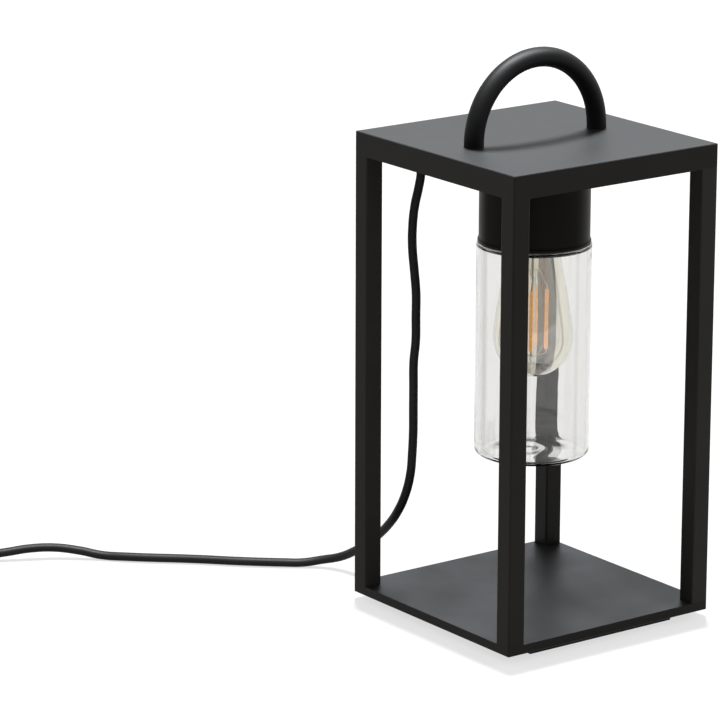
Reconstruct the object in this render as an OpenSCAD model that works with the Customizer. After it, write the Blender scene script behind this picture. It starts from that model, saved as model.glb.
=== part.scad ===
// Outdoor lantern: a square black frame with a carrying handle, a glass jar that screws into a
// cup under the roof, a filament bulb in a screw lamp holder, and a rubber lead with a plug.
// Millimetres, +Z up. The origin is on the floor under the middle of the frame.
// The handle lies along X and -Y is the front.

/* [Frame] */
// Outside width and depth of the frame
frame_w = 180; // [165:1:240]
// Height from the lower edge of the base to the top of the roof
frame_h = 340; // [310:1:420]
// Side of a corner post
post_w = 14; // [12.5:0.5:18]
// Wall of a corner post
post_wall = 1.6; // [1.2:0.1:1.9]
// Rounding of the frame's outside edges
edge_r = 1.2; // [0.6:0.1:1.8]
// Length of the plugs in the ends of a post
plug_len = 10; // [6:1:16]
// Diameter of the tie rod inside a post
rod_d = 4; // [3:0.5:4.5]
// Diameter of a tie rod's head
rod_head_d = 8; // [6:0.5:9]
// Height of a tie rod's head
rod_head_h = 2.6; // [2:0.1:3]
// How deep a tie rod's head lies in the base
rod_sink = 1; // [0.5:0.1:1.2]
// Width of the socket in a tie rod's head, across its flats
rod_socket = 4; // [3:0.5:4.5]
// Gap between a tie rod's end and the roof's top
rod_end_gap = 4; // [3:0.5:6]

/* [Roof] */
// Height of the roof's rim
roof_h = 17; // [16:0.5:24]
// Thickness of the roof's top
roof_skin = 2.5; // [2:0.1:3]
// Thickness of the roof's rim
rim_wall = 3; // [2:0.1:5]
// Thickness of the liner that closes the roof from below
liner_t = 1.5; // [1:0.1:2]
// Distance from the rim's lower edge up to the liner
liner_recess = 3; // [2.5:0.1:4]
// Diameter of the bosses that hold the liner
boss_d = 8; // [6:0.5:12]
// Distance of a boss from the middle, along X
boss_x = 45; // [38:1:52]
// Distance of a boss from the roof's outside, along Y
boss_inset = 18; // [15:1:24]
// Reach of a liner screw above its seat
liner_screw_reach = 6; // [5:0.5:9]
// Height of the boss that the earth screw sits in
earth_boss_h = 4; // [3.8:0.1:6]

/* [Base] */
// Height of the base's edge
base_h = 7; // [6.5:0.5:12]
// Thickness of the base's top
base_skin = 2.5; // [2:0.1:3]
// Thickness of the base's edge
base_wall = 3; // [2:0.1:5]
// Thickness of the ribs under the base
rib_t = 2; // [1.5:0.1:4]
// Distance of the outer ribs from the middle
rib_x = 45; // [30:1:60]
// Height of a foot strip
foot_h = 5; // [4:0.5:10]
// Length of a foot strip
foot_len = 131; // [110:1:138]
// Width of a foot strip
foot_w = 12; // [10:0.5:18]
// Distance of a foot strip from the base's outside
foot_inset = 9; // [6:0.5:16]
// Slant of a foot strip's ends
foot_slant = 2; // [0:0.5:4]
// Margin of the rail that a foot strip is screwed to
rail_margin = 1.5; // [0.5:0.5:3]
// Distance of a foot screw from the end of its strip
foot_screw_inset = 18; // [10:1:30]
// Depth of a foot screw's hole in the base
foot_screw_reach = 5; // [4:0.5:6]
// How deep a foot screw's head lies in its strip
foot_screw_sink = 1; // [0.5:0.1:1.5]

/* [Handle] */
// Distance between the middles of the handle's feet
handle_span = 109; // [90:1:130]
// Diameter of the handle's bar
handle_d = 14; // [12:0.5:18]
// Straight length at each foot of the handle
handle_leg = 2; // [1:0.5:20]
// Diameter of a handle screw
handle_screw_d = 5; // [4:0.5:6]
// Reach of a handle screw into the handle
handle_screw_reach = 11; // [8:1:14]
// Thickness of the roof's pad under a handle foot
handle_pad_t = 2; // [1:0.5:2.5]
// How far that pad reaches past the foot
handle_pad_margin = 2; // [1:0.5:3]
// Diameter of a handle screw's head
handle_head_d = 9.5; // [8:0.5:11]
// Height of a handle screw's head
handle_head_h = 3.2; // [2.5:0.1:4]
// Width of the socket in that head, across its flats
handle_socket = 4; // [3:0.5:5]
// Diameter of the washer under that head
handle_washer_d = 12; // [10:0.5:14]
// Thickness of that washer
handle_washer_t = 1; // [0.8:0.1:1.5]

/* [Small screws] */
// Diameter of the screws in the liner, the feet, the terminals and the earth boss
small_screw_d = 3; // [2.5:0.1:3.4]
// Diameter of their heads
small_head_d = 5.6; // [5:0.1:6.2]
// Height of the heads in the liner, the feet and the earth boss
small_head_h = 2; // [1.5:0.1:2.4]
// Width of the sockets in those heads, across their flats
small_socket = 2.5; // [2:0.1:3]
// Depth of the socket in a screw's head
socket_depth = 1.1; // [0.8:0.1:1.3]
// Height of the heads on the terminals
terminal_head_h = 1.2; // [0.8:0.1:1.5]

/* [Lamp holder] */
// Diameter of the cup round the lamp holder
cup_d = 78.4; // [72:0.2:96]
// Wall of the cup
cup_wall = 1.8; // [1.2:0.1:3]
// Length of the cup
cup_len = 59; // [54:1:80]
// Thickness of the cup's top
cup_top_t = 2.5; // [1.5:0.1:4]
// How far the lip at the cup's mouth stands out
lip_out = 0.8; // [0.2:0.1:1.5]
// Height of the lip
lip_h = 3; // [1.5:0.1:6]
// Thickness of the gasket between the cup and the liner
gasket_t = 1; // [0.5:0.1:2]
// Diameter of the threaded nipple that hangs the cup and the lamp holder
nipple_d = 10; // [9:0.5:12]
// Bore of the nipple
nipple_bore = 7; // [6:0.1:7.4]
// Diameter of the lamp holder
holder_d = 40; // [37:0.5:46]
// Height of the lamp holder's dome
dome_h = 13.5; // [13:0.5:18]
// Wall of the lamp holder's dome
dome_wall = 2; // [1.5:0.1:3]
// Height of the lamp holder's skirt
skirt_h = 30; // [26:0.5:34]
// Thickness of the ceramic insert
insert_t = 6; // [4:0.5:6.5]
// Thickness of the brass screw shell
shell_t = 0.6; // [0.4:0.1:1]
// Height of the screw shell's lower edge above the skirt's
shell_lift = 2; // [1:0.5:4]
// Width of the screw shell's flange
shell_flange = 3; // [2:0.5:4]
// Length of the dome's threaded collar
dome_collar = 2; // [1.5:0.1:2.3]
// Diameter of the washer on the nipple
nipple_washer_d = 18; // [16:0.5:22]
// Thickness of that washer
nipple_washer_t = 1.2; // [1:0.1:2]
// Width of the nipple's nut across its flats
nipple_flats = 14; // [13.5:0.5:17]
// How far the nipple stands out of its nut
nipple_past = 0.6; // [0.3:0.1:1.5]
// Floor under the screw holes in the insert
insert_floor = 2; // [1:0.5:3]
// Length of a terminal
terminal_l = 7; // [6:0.5:8]
// Width of a terminal
terminal_w = 6; // [5:0.5:8]
// Height of a terminal
terminal_h = 3.6; // [3.4:0.1:3.8]
// Height of the centre contact
spring_h = 0.9; // [0.7:0.1:1.2]
// Diameter of the centre contact's button
spring_d = 4; // [3:0.5:6]
// Length of the centre contact's leaf
leaf_l = 14; // [10:0.5:18]
// Width of the leaf
leaf_w = 5; // [4:0.5:8]
// Thickness of the leaf
leaf_t = 0.5; // [0.3:0.1:0.6]

/* [Glass jar] */
// How far the jar's side stands out past the cup's side
jar_out = 1.6; // [1:0.1:4]
// Length of the jar below the cup
jar_len = 153.5; // [120:0.5:200]
// Wall of the jar
jar_wall = 2; // [1.5:0.1:4]
// Thickness of the jar's floor
jar_floor = 3; // [2:0.1:8]
// Rounding of the jar's lower edge
jar_corner_r = 8; // [5:0.5:16]
// Rounding of the jar's shoulder
shoulder_r = 1.4; // [0.6:0.1:1.6]
// Length of the neck that screws into the cup
neck_len = 12; // [10:0.5:16]
// Thickness of the seal on the jar's shoulder
seal_t = 1; // [0.6:0.1:2]
// Bevel at the neck's upper edge
neck_bevel = 0.8; // [0.4:0.1:1.5]
// Height of the slope from the neck to the wider inside
neck_slope = 3; // [2:0.5:10]

/* [Bulb] */
// Largest diameter of the bulb
bulb_d = 57; // [45:0.5:62]
// Length of the bulb with its cap
bulb_len = 140; // [125:1:160]
// Thickness of the bulb's glass
bulb_wall = 0.8; // [0.5:0.1:1.2]
// Diameter of the screw cap
cap_d = 26.4; // [25:0.1:27]
// Length of the screw cap
cap_len = 22; // [20:0.5:24]
// Thickness of the screw cap
cap_wall = 0.5; // [0.3:0.1:0.8]
// Distance between the ridges of the cap's thread
cap_pitch = 3.63; // [3.5:0.01:3.8]
// Depth of the cap's thread
cap_thread = 1.2; // [0.8:0.1:1.4]
// Height of the insulator on the cap
insulator_h = 3.5; // [2.5:0.1:5]
// Diameter of the contact in the insulator
contact_d = 10; // [8:0.5:12]
// Height of the contact
contact_h = 1.5; // [1:0.1:2.5]
// Rise of the belly's curve above the widest place
belly_rise = 12; // [6:1:20]
// Diameter that the bulb's taper aims at
waist_d = 40.6; // [34:0.2:46]
// Height of that taper's aim below the cap
waist_drop = 28; // [20:1:40]
// Diameter of the stem's tube
stem_d = 7; // [5:0.5:9]
// Number of filaments
filament_count = 4; // [2:1:6]
// Length of a filament
filament_len = 49; // [38:1:54]
// Diameter of a filament
filament_d = 3; // [1.5:0.1:3.5]
// Diameter of the ring that the filaments stand on
filament_ring = 19; // [16:0.2:28]
// Angle of the first filament
filament_turn = 43; // [0:1:90]
// Diameter of a lead wire
lead_d = 0.7; // [0.5:0.1:1.2]
// Height of the filaments above the bulb's tip
filament_low = 17; // [15:0.5:24]
// How far the bulb's neck reaches into its cap
bulb_neck_in = 6; // [4:0.5:10]
// How much of the neck shows below the cap
bulb_neck_show = 1; // [0.5:0.5:4]
// Height of the cap's slanted shoulder
cap_shoulder = 2.5; // [1.5:0.5:4]
// How far the cap's opening reaches past the contact
cap_throat = 4; // [3:0.5:5]
// Width of the rim round that opening
cap_rim = 2; // [1:0.5:3]
// How far the insulator's foot reaches past the contact
insulator_foot = 5; // [4.5:0.5:6]
// How far the insulator's top reaches past the contact
insulator_top = 1.5; // [1:0.5:3]
// Diameter of the rod between the filaments
stem_rod_d = 2.6; // [2:0.1:3.5]
// How far that rod reaches below the filaments
stem_rod_low = 4; // [3.5:0.5:6]
// Height of the stem's pressed end above the filaments
press_gap = 7; // [5:0.5:9]
// Height of the taper below the pressed end
press_taper = 2; // [1:0.5:4]
// Height of the stem's flare
flare_h = 10; // [8:0.5:14]
// Thickness of the flare's edge
flare_edge = 1; // [0.6:0.1:1.5]
// Height above the filaments at which the wires leave the stem
wire_high = 11; // [10:0.5:14]
// Depth below the filaments at which the wires leave the rod
wire_low = 3; // [2.5:0.5:4]

/* [Cable and plug] */
// Diameter of the cable
cable_d = 6.5; // [5.5:0.1:7.5]
// Diameter of a core in the cable
core_d = 2; // [1.6:0.1:2.2]
// Distance of the cable gland from the roof's outside
gland_inset = 33; // [28:0.5:40]
// Thread diameter of the gland
gland_d = 12; // [11:0.5:14]
// Width of the gland's hexagon across its flats
gland_flats = 15; // [14.5:0.5:19]
// Thickness of the gland's hexagon
gland_hex_t = 4; // [3:0.5:5]
// Length of the gland's clamping nut
gland_nut_len = 8; // [7:0.5:12]
// Thickness of the nuts above the liner
locknut_t = 4; // [3:0.5:4.5]
// Width of the gland's locknut across its flats
locknut_flats = 16; // [15.5:0.5:20]
// Floor of the clamping nut
gland_floor_t = 2; // [1.5:0.1:3]
// Thickness of the gland's seal
gland_seal_t = 1.5; // [1:0.1:2.5]
// Step from the gland's thread in to its clamping end
gland_step = 0.4; // [0.2:0.1:0.8]
// Rounding of the clamping nut's nose
gland_round = 2; // [1:0.1:3]
// How far the gland stands out of its locknut
gland_past = 0.8; // [0.5:0.1:1.5]
// How far the sheath stands out of the gland
sheath_past = 0.7; // [0.3:0.1:1]
// Distance of a core from the cable's middle
core_ring = 1.45; // [1.35:0.05:1.8]
// Distance of a core from the nipple's middle
core_side = 1.7; // [1.3:0.1:2]
// Distance of the earth screw from the gland along X
earth_dx = 24; // [20:1:30]
// Distance of the earth screw from the gland along Y
earth_dy = 12; // [8:1:16]
// Diameter of the earth lug's ring
earth_lug_d = 8; // [7:0.5:10]
// Thickness of the earth lug
earth_lug_t = 0.8; // [0.5:0.1:1.2]
// Reach of the earth lug from its screw to the core
earth_lug_l = 8; // [7:0.5:12]
// Reach of the earth screw into its boss
earth_screw_reach = 3; // [2:0.5:3.5]
// Diameter of the coil's outer turn
coil_d = 94; // [90:1:120]
// Whole loops in the coil
coil_loops = 5; // [3:1:7]
// Gap between neighbouring turns
coil_gap = 0.6; // [0.5:0.1:1.5]
// Width of the tie round the coil
tie_w = 10; // [6:1:14]
// Thickness of the tie
tie_t = 0.8; // [0.6:0.1:1.5]
// Length of the tail from the coil to the plug
tail_len = 46; // [40:1:70]
// Length of the plug's boot
boot_len = 32; // [24:1:45]
// Diameter of the plug's collar
collar_d = 42; // [40:0.5:48]
// Thickness of the plug's collar
collar_t = 4; // [3:0.5:8]
// Diameter of the plug's nose
nose_d = 37; // [36:0.1:38]
// Length of the plug's nose
nose_len = 17; // [14:0.5:20]
// Length of the plug's grip
grip_len = 32; // [26:1:44]
// Width of the plug's grip between its flat sides
grip_w = 27; // [22:0.5:34]
// Number of grooves on each flat side of the grip
groove_count = 4; // [2:1:6]
// Distance between neighbouring grooves
groove_pitch = 4.5; // [3.5:0.1:4.8]
// Width of a groove
groove_w = 2; // [1:0.1:2.5]
// Depth of a groove
groove_depth = 0.7; // [0.3:0.1:1]
// Diameter of a plug pin
pin_d = 4.8; // [4:0.1:5]
// Length of a plug pin
pin_len = 19; // [17:0.5:20]
// Distance between the plug's pins
pin_pitch = 19; // [18:0.5:20]
// Length of a pin's tapered tip
pin_tip = 1; // [0.5:0.1:2]
// Diameter of a pin's end
pin_end_d = 3.4; // [2.5:0.1:3.8]
// Length of the cable's socket in the boot
boot_socket = 10; // [6:0.5:14]
// Diameter of the boot's thin end
boot_tip_d = 10; // [9:0.5:12]
// Diameter of the boot's thick end
boot_root_d = 15; // [12:0.5:17]
// Number of ribs on the boot
boot_ribs = 6; // [3:1:8]
// How far a rib stands out
boot_rib_h = 0.8; // [0.4:0.1:1.5]
// Plain length at each end of the boot
boot_end = 3; // [2:0.5:5]
// Diameter of the grip's thin end
grip_tip_d = 17; // [15:0.5:20]
// Straight length of the grip next to the collar
grip_straight = 8; // [4:0.5:12]
// How far the collar stands out past the grip
collar_out = 2; // [1:0.5:3]
// Bevel of the collar's back edge
collar_bevel = 1; // [0.5:0.1:2]
// Bevel of the nose's front edge
nose_bevel = 1.5; // [0.5:0.1:3]
// Width of an earth clip
clip_w = 6; // [4:0.5:8]
// Thickness of an earth clip
clip_t = 1; // [0.6:0.1:1.4]
// Depth of the slot for an earth clip
clip_slot = 2; // [1.5:0.1:3]

/* [Fits] */
// Clearance of a piece that slides into another
slip = 0.15; // [0.05:0.05:0.25]
// Clearance of a screw in its thread
thread_fit = 0.05; // [0.02:0.01:0.1]
// Clearance of the screw fits that are turned by hand
turn_gap = 0.35; // [0.3:0.05:0.5]
// Clearance of a screw in a plain hole
screw_gap = 0.2; // [0.1:0.05:0.4]
// Clearance round the cable and what it passes through
cable_gap = 0.3; // [0.2:0.05:0.4]
// Clearance between the tie and the coil
tie_gap = 0.9; // [0.7:0.1:2]
// Clearance between the tie and the coil, above and below
tie_room = 0.35; // [0.2:0.05:0.6]
// Clearance between the lead and the floor
floor_gap = 0.05; // [0.02:0.01:0.2]
// Clearance between the plug's collar and the floor
plug_gap = 0.2; // [0.05:0.05:0.5]
// Clearance between the cores and the roof's top
core_gap = 0.4; // [0.2:0.1:0.6]
// Clearance that keeps parts of the bulb from touching
seat_gap = 0.2; // [0.1:0.05:0.3]

/* [Hidden] */
$fn = 64;

coat = "#2a2a2b";
satin = "#1f1f20";
rubber = "#1c1c1d";
steel = "#b8babc";
brass = "#c8a24a";
porcelain = "#ece9e2";
clear = "#dfe6e4";

// How far a cut runs past a face
past = 1;

// Heights of the frame
z_base_top = foot_h + base_h;
z_top = foot_h + frame_h;
z_rim = z_top - roof_h;
z_skin = z_top - roof_skin;
z_liner = z_rim + liner_recess;
z_liner_top = z_liner + liner_t;
post_at = (frame_w - post_w) / 2;
post_bore = post_w - 2 * post_wall;

// Holes that the small screws cut their threads in
small_tap_d = small_screw_d + 2 * thread_fit;

// Tie rods
rod_bore = rod_d + 2 * screw_gap;
rod_seat = foot_h + rod_sink + rod_head_h;
rod_top = z_skin - rod_end_gap;

// Foot strips
foot_at = frame_w / 2 - foot_inset - foot_w / 2;
foot_screw_x = foot_len / 2 - foot_screw_inset;
foot_seat = foot_screw_sink + small_head_h;

// Handle
handle_r = handle_span / 2;
handle_seat = z_skin - handle_pad_t;

// Lamp holder and cup
cup_r = cup_d / 2;
z_cup_top = z_liner - gasket_t;
z_cup = z_cup_top - cup_len;
z_dome = z_cup_top - cup_top_t;
z_holder = z_dome - dome_h;
z_insert = z_holder + insert_t;
z_skirt = z_holder - skirt_h;
nipple_hole = nipple_d + 2 * screw_gap;
nipple_low = z_dome - dome_wall - dome_collar;
nipple_top = z_liner_top + nipple_washer_t + locknut_t + nipple_past;
collar_r = nipple_d / 2 + dome_wall;
shell_bore = cap_d + 2 * turn_gap;
insert_d = holder_d - 2 * dome_wall - 2 * slip;
terminal_x = collar_r + cable_gap + terminal_l / 2;

// Jar
jar_r = cup_r + jar_out;
neck_r = cup_r - cup_wall - turn_gap;
z_shoulder = z_cup - seal_t;
z_jar = z_shoulder - jar_len;

// Bulb: the contact's top sits just under the lamp holder's spring
z_contact = z_holder - spring_h - seat_gap;
z_tip = z_contact - bulb_len;
z_insulator = z_contact - contact_h - insulator_h;
z_cap = z_insulator - cap_len;
bulb_r = bulb_d / 2;
z_wide = z_tip + bulb_r;
thread_steps = 8;
thread_ridges = floor((cap_len - bulb_neck_in - cap_shoulder - cap_wall - 2 * seat_gap) / cap_pitch);
bulb_neck_r = cap_d / 2 - cap_wall - turn_gap;
z_filament = z_tip + filament_low;
z_filament_top = z_filament + filament_len;

// Gland, at the back left corner of the roof
gland_x = gland_inset - frame_w / 2;
gland_y = frame_w / 2 - gland_inset;
z_gland = z_liner - gland_hex_t - gland_nut_len;
z_gland_seal = z_gland + gland_floor_t;
gland_bore = cable_d + 2 * cable_gap;
gland_socket_d = gland_d - 2 * gland_step;
gland_top = z_liner_top + locknut_t + gland_past;
z_sheath = gland_top + sheath_past;

// Earth screw, beside the gland
earth_x = gland_x + earth_dx;
earth_y = gland_y - earth_dy;
z_earth = z_skin - earth_boss_h;

// Lead on the floor, coil and plug
lying = cable_d / 2 + floor_gap;
coil_at = [-326, 302];
coil_r = coil_d / 2;
coil_step = cable_d + coil_gap;
coil_z = lying + tie_t + tie_room + floor_gap;
lead_angle = 60;
tail_angle = 180;
tie_angle = 120;
coil_sweep = 360 * coil_loops + tail_angle - lead_angle;
coil_rings = 24;
plug_at = [coil_at[0] - coil_r, coil_at[1] - tail_len, collar_d / 2 + plug_gap];
grip_end = boot_len + grip_len;
nose_at = grip_end + collar_t;
plug_face = nose_at + nose_len;

// Points of an arc from angle a to angle b
function arc(c, r, a, b, n = 6) =
    [for (i = [0:n]) let (t = a + (b - a) * i / n) [c[0] + r * cos(t), c[1] + r * sin(t)]];

// Outline of a rectangle with round corners, in the middle of the plane
function soft_rect(w, h, r) =
    concat(arc([w / 2 - r, h / 2 - r], r, 0, 90, 4), arc([r - w / 2, h / 2 - r], r, 90, 180, 4),
           arc([r - w / 2, r - h / 2], r, 180, 270, 4), arc([w / 2 - r, r - h / 2], r, 270, 360, 4));

// Outline of a rectangle that stands on the X axis, with its two upper corners round
function crowned(w, h, r) =
    concat([[-w / 2, 0], [w / 2, 0]],
           arc([w / 2 - r, h - r], r, 0, 90, 4), arc([r - w / 2, h - r], r, 90, 180, 4));

// Point on a cubic curve between a and d
function cubic(a, b, c, d, t) =
    pow(1 - t, 3) * a + 3 * pow(1 - t, 2) * t * b + 3 * (1 - t) * t * t * c + t * t * t * d;

// Rises from 0 to 1 with level ends
function ease(t) = let (s = min(max(t, 0), 1)) s * s * (3 - 2 * s);

function unit(v) = v / norm(v);
function square_to(v, t) = unit(v - (v * t) * t);
function reversed(p) = [for (i = [len(p) - 1:-1:0]) p[i]];

// Directions along a path
function tangents(p) = [for (i = [0:len(p) - 1]) unit(p[min(i + 1, len(p) - 1)] - p[max(i - 1, 0)])];

// A direction carried along a path without twisting
function carried(t) =
    [for (i = 0, v = square_to(abs(t[0][2]) > 0.9 ? [1, 0, 0] : [0, 0, 1], t[0]); i < len(t);
          i = i + 1, v = square_to(v, t[min(i, len(t) - 1)])) v];

// Two triangles for each side of each stretch of a tube, then the two ends
function tube_faces(rings, sides) =
    concat([for (i = [0:rings - 2], k = [0:sides - 1], half = [0, 1])
               let (a = i * sides + k, b = i * sides + (k + 1) % sides)
               half == 0 ? [a, a + sides, b + sides] : [a, b + sides, b]],
           [for (k = [1:sides - 2]) [0, k, k + 1]],
           [for (k = [1:sides - 2]) let (e = (rings - 1) * sides) [e, e + k + 1, e + k]]);

// Tube of diameter d along a path
module tube(p, d, sides) {
    t = tangents(p);
    v = carried(t);
    points = [for (i = [0:len(p) - 1], k = [0:sides - 1])
                  let (a = 360 * k / sides)
                  p[i] + d / 2 * (cos(a) * v[i] + sin(a) * cross(t[i], v[i]))];
    polyhedron(points, tube_faces(len(p), sides));
}

// Route of the lead: down from the gland, out through the back of the frame, and over the floor
lead_hang = [
    [-58, 58, 306], [-60, 60, 292], [-61, 61, 277], [-61, 61, 262], [-60, 60, 246], [-59, 59, 229],
    [-59, 59, 212], [-59, 59, 195], [-60, 60, 178], [-60, 60, 161], [-60, 60, 144], [-60, 60, 127],
    [-60, 61, 111], [-60, 63, 95], [-60, 69, 78], [-60, 78, 63], [-59, 90, 50], [-58, 103, 39],
    [-57, 118, 28], [-57, 134, 18], [-60, 149, 10], [-67, 161, 6]];
lead_floor = [
    [-78, 171, lying], [-90, 180, lying], [-104, 192, lying], [-118, 205, lying], [-132, 219, lying],
    [-146, 232, lying], [-161, 245, lying], [-175, 258, lying], [-188, 272, lying], [-201, 284, lying + 3],
    [-215, 295, lying + 5], [-231, 304, lying + 5], [-247, 312, lying + 3], [-264, 321, lying + 1]];
lead_drop = 4;
lead_run = 16;
lead_way = [-sin(lead_angle), cos(lead_angle), 0];
coil_edge = [coil_at[0], coil_at[1], coil_z] + coil_r * [cos(lead_angle), sin(lead_angle), 0];
coil_in = coil_edge - cable_d * lead_way;
lead_top = [for (z = [z_sheath, z_gland, z_gland - lead_drop]) [gland_x, gland_y, z]];
lead_path = concat(lead_top, lead_hang, lead_floor, [coil_in - lead_run * lead_way, coil_in]);

// Routes of the cores over the liner. A point beside the gland is counted towards the lamp, aside and up.
function beside_gland(p) = [gland_x + (p[0] + p[1]) / sqrt(2), gland_y + (p[1] - p[0]) / sqrt(2), p[2]];
to_lamp = norm([gland_x, gland_y]);
z_run = z_skin - core_d / 2 - core_gap;
z_terminal = z_insert + terminal_h / 2;
core_across = core_ring * sin(60);
live_out = [
    [-core_ring, 0, z_sheath], [-core_ring, 0, z_sheath + 1.2], [-0.9, 0.3, z_run - 0.7], [0.6, 0.7, z_run],
    [3, 1.2, z_run]];
neutral_out = [
    [core_ring / 2, -core_across, z_sheath], [core_ring / 2, -core_across, z_sheath + 0.9],
    [1.3, -1.4, z_run - 1], [3, -1.6, z_run]];
earth_out = [
    [core_ring / 2, core_across, z_sheath], [core_ring / 2, core_across, z_sheath + 1],
    [1.2, 2.3, z_sheath + 1.35], [4, 4.2, z_sheath + 1.5], [10, 2, z_sheath + 0.5]];
function lamp_run(s) = [
    for (p = [[to_lamp / 2, 2.4 * s, z_run], [to_lamp - 4.2, 2.4 * s, z_run]]) beside_gland(p)];
function lamp_drop(s) = [
    [core_side * s - 1, 1, z_run - 0.5], [core_side * s, 0, nipple_top - 1],
    [core_side * s, 0, nipple_low + 1], [(core_side + 0.3) * s, 0, nipple_low - 0.6],
    [(core_side + 1.6) * s, 0, z_terminal],
    [(terminal_x - terminal_l / 2 - core_gap / 2) * s, 0, z_terminal]];
earth_end = [earth_x - earth_lug_l, earth_y, z_earth - core_d / 2];
earth_in = [earth_end - [4.5, -1, 0], earth_end - [2.5, 0, 0], earth_end];

// Coil: spirals in on the lower layer, climbs while it turns back, spirals out on the upper layer
function coil_point(a) =
    let (r = coil_r - coil_step * (coil_sweep / 2 - abs(a - coil_sweep / 2)) / 360,
         z = coil_z + coil_step * ease((a - coil_sweep / 2) / 180 + 0.5))
    [coil_at[0] + r * cos(lead_angle + a), coil_at[1] + r * sin(lead_angle + a), z];
coil_turns = [for (i = [0:coil_sweep * coil_rings / 360]) coil_point(i * 360 / coil_rings)];
tail_steps = 5;
tail_start = coil_point(coil_sweep);
coil_tail = [for (i = [1:tail_steps])
                 let (s = i / tail_steps, rise = (plug_at[2] - tail_start[2]) * ease(s))
                 [plug_at[0], tail_start[1] - s * tail_len, tail_start[2] + rise]];
coil_path = concat([coil_in], coil_turns, coil_tail, [plug_at - [0, boot_socket, 0]]);

// Least gap between turns of the coil, measured on points at least half a loop apart
coil_least_gap = min([for (i = [0:len(coil_turns) - 1], k = [i + coil_rings / 2:len(coil_turns) - 1])
                          norm(coil_turns[i] - coil_turns[k])]) - cable_d;
echo(coil_least_gap = coil_least_gap);

// Square block on the XY plane with its upright and upper edges rounded
module soft_block(w, h, r) {
    intersection() {
        linear_extrude(h) polygon(soft_rect(w, w, r));
        rotate([90, 0, 0]) linear_extrude(w + 2 * past, center = true) polygon(crowned(w, h, r));
        rotate([90, 0, 90]) linear_extrude(w + 2 * past, center = true) polygon(crowned(w, h, r));
    }
}

module at_corners() {
    for (x = [-post_at, post_at], y = [-post_at, post_at]) translate([x, y, 0]) children();
}

module at_bosses() {
    at_y = frame_w / 2 - boss_inset;
    for (x = [-boss_x, boss_x], y = [-at_y, at_y]) translate([x, y, 0]) children();
}

module at_foot_screws() {
    for (x = [-foot_screw_x, foot_screw_x], y = [-foot_at, foot_at]) translate([x, y, 0]) children();
}

module at_gland() {
    translate([gland_x, gland_y, 0]) children();
}

module at_earth() {
    translate([earth_x, earth_y, 0]) children();
}

module at_handle_feet() {
    for (s = [-1, 1]) translate([s * handle_r, 0, 0]) children();
}

module at_terminals() {
    for (s = [-1, 1]) translate([s * terminal_x, 0, 0]) children();
}

// Upright cylinder from height a to height b
module rod(a, b, d) {
    translate([0, 0, a]) cylinder(h = b - a, d = d);
}

module ring(a, b, outer_d, inner_d) {
    difference() {
        rod(a, b, outer_d);
        rod(a - past, b + past, inner_d);
    }
}

module hex(a, b, flats, hole_d) {
    difference() {
        translate([0, 0, a]) cylinder(h = b - a, d = flats / cos(30), $fn = 6);
        rod(a - past, b + past, hole_d);
    }
}

// Screw with a low round head that has a socket; the head lies below its seat at height a
module screw_up(a, reach, d, head_d, head_h, socket) {
    difference() {
        rod(a - head_h, a, head_d);
        rod(a - head_h - past, a - head_h + socket_depth, socket / cos(30), $fn = 6);
    }
    rod(a, a + reach, d);
}

module small_screw_up(a, reach) {
    screw_up(a, reach, small_screw_d, small_head_d, small_head_h, small_socket);
}

// Inside of the tray between four corner blocks
module tray_plan(wall) {
    difference() {
        square(frame_w - 2 * wall, center = true);
        at_corners() square(post_w, center = true);
    }
}

module roof() color(coat) {
    difference() {
        union() {
            difference() {
                translate([0, 0, z_rim]) soft_block(frame_w, roof_h, edge_r);
                translate([0, 0, z_rim - past]) linear_extrude(roof_h - roof_skin + past) tray_plan(rim_wall);
            }
            at_bosses() rod(z_liner_top, z_skin + slip, boss_d);
            at_handle_feet() rod(handle_seat, z_skin + slip, handle_d + 2 * handle_pad_margin);
            at_earth() rod(z_earth, z_skin + slip, boss_d);
        }
        at_corners() rod(z_rim - past, rod_top + past, rod_d + 2 * thread_fit);
        at_bosses() rod(z_liner_top - past, z_liner + liner_screw_reach + past, small_tap_d);
        at_handle_feet() rod(handle_seat - past, z_top + past, handle_screw_d + 2 * screw_gap);
        at_earth() rod(z_earth - past, z_earth + earth_screw_reach + past, small_tap_d);
    }
}

module roof_liner() color(coat) {
    difference() {
        translate([0, 0, z_liner]) linear_extrude(liner_t) difference() {
            square(frame_w - 2 * rim_wall - 2 * slip, center = true);
            at_corners() square(post_w + 2 * slip, center = true);
        }
        rod(z_liner - past, z_liner_top + past, nipple_hole);
        at_bosses() rod(z_liner - past, z_liner_top + past, small_screw_d + 2 * screw_gap);
        at_gland() rod(z_liner - past, z_liner_top + past, gland_d + 2 * screw_gap);
    }
}

module liner_screws() color(steel) {
    at_bosses() small_screw_up(z_liner, liner_screw_reach);
}

module post(x, y) color(coat) {
    translate([x * post_at, y * post_at, z_base_top]) linear_extrude(z_rim - z_base_top) difference() {
        polygon(soft_rect(post_w, post_w, edge_r));
        square(post_bore, center = true);
    }
}

// Plugs in both ends of each post, which centre it on its tie rod
module post_plugs() color(steel) {
    at_corners() for (a = [z_base_top, z_rim - plug_len]) difference() {
        translate([0, 0, a]) linear_extrude(plug_len) square(post_bore - 2 * slip, center = true);
        rod(a - past, a + plug_len + past, rod_bore);
    }
}

module tie_rods() color(steel) {
    at_corners() screw_up(rod_seat, rod_top - rod_seat, rod_d, rod_head_d, rod_head_h, rod_socket);
}

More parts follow.
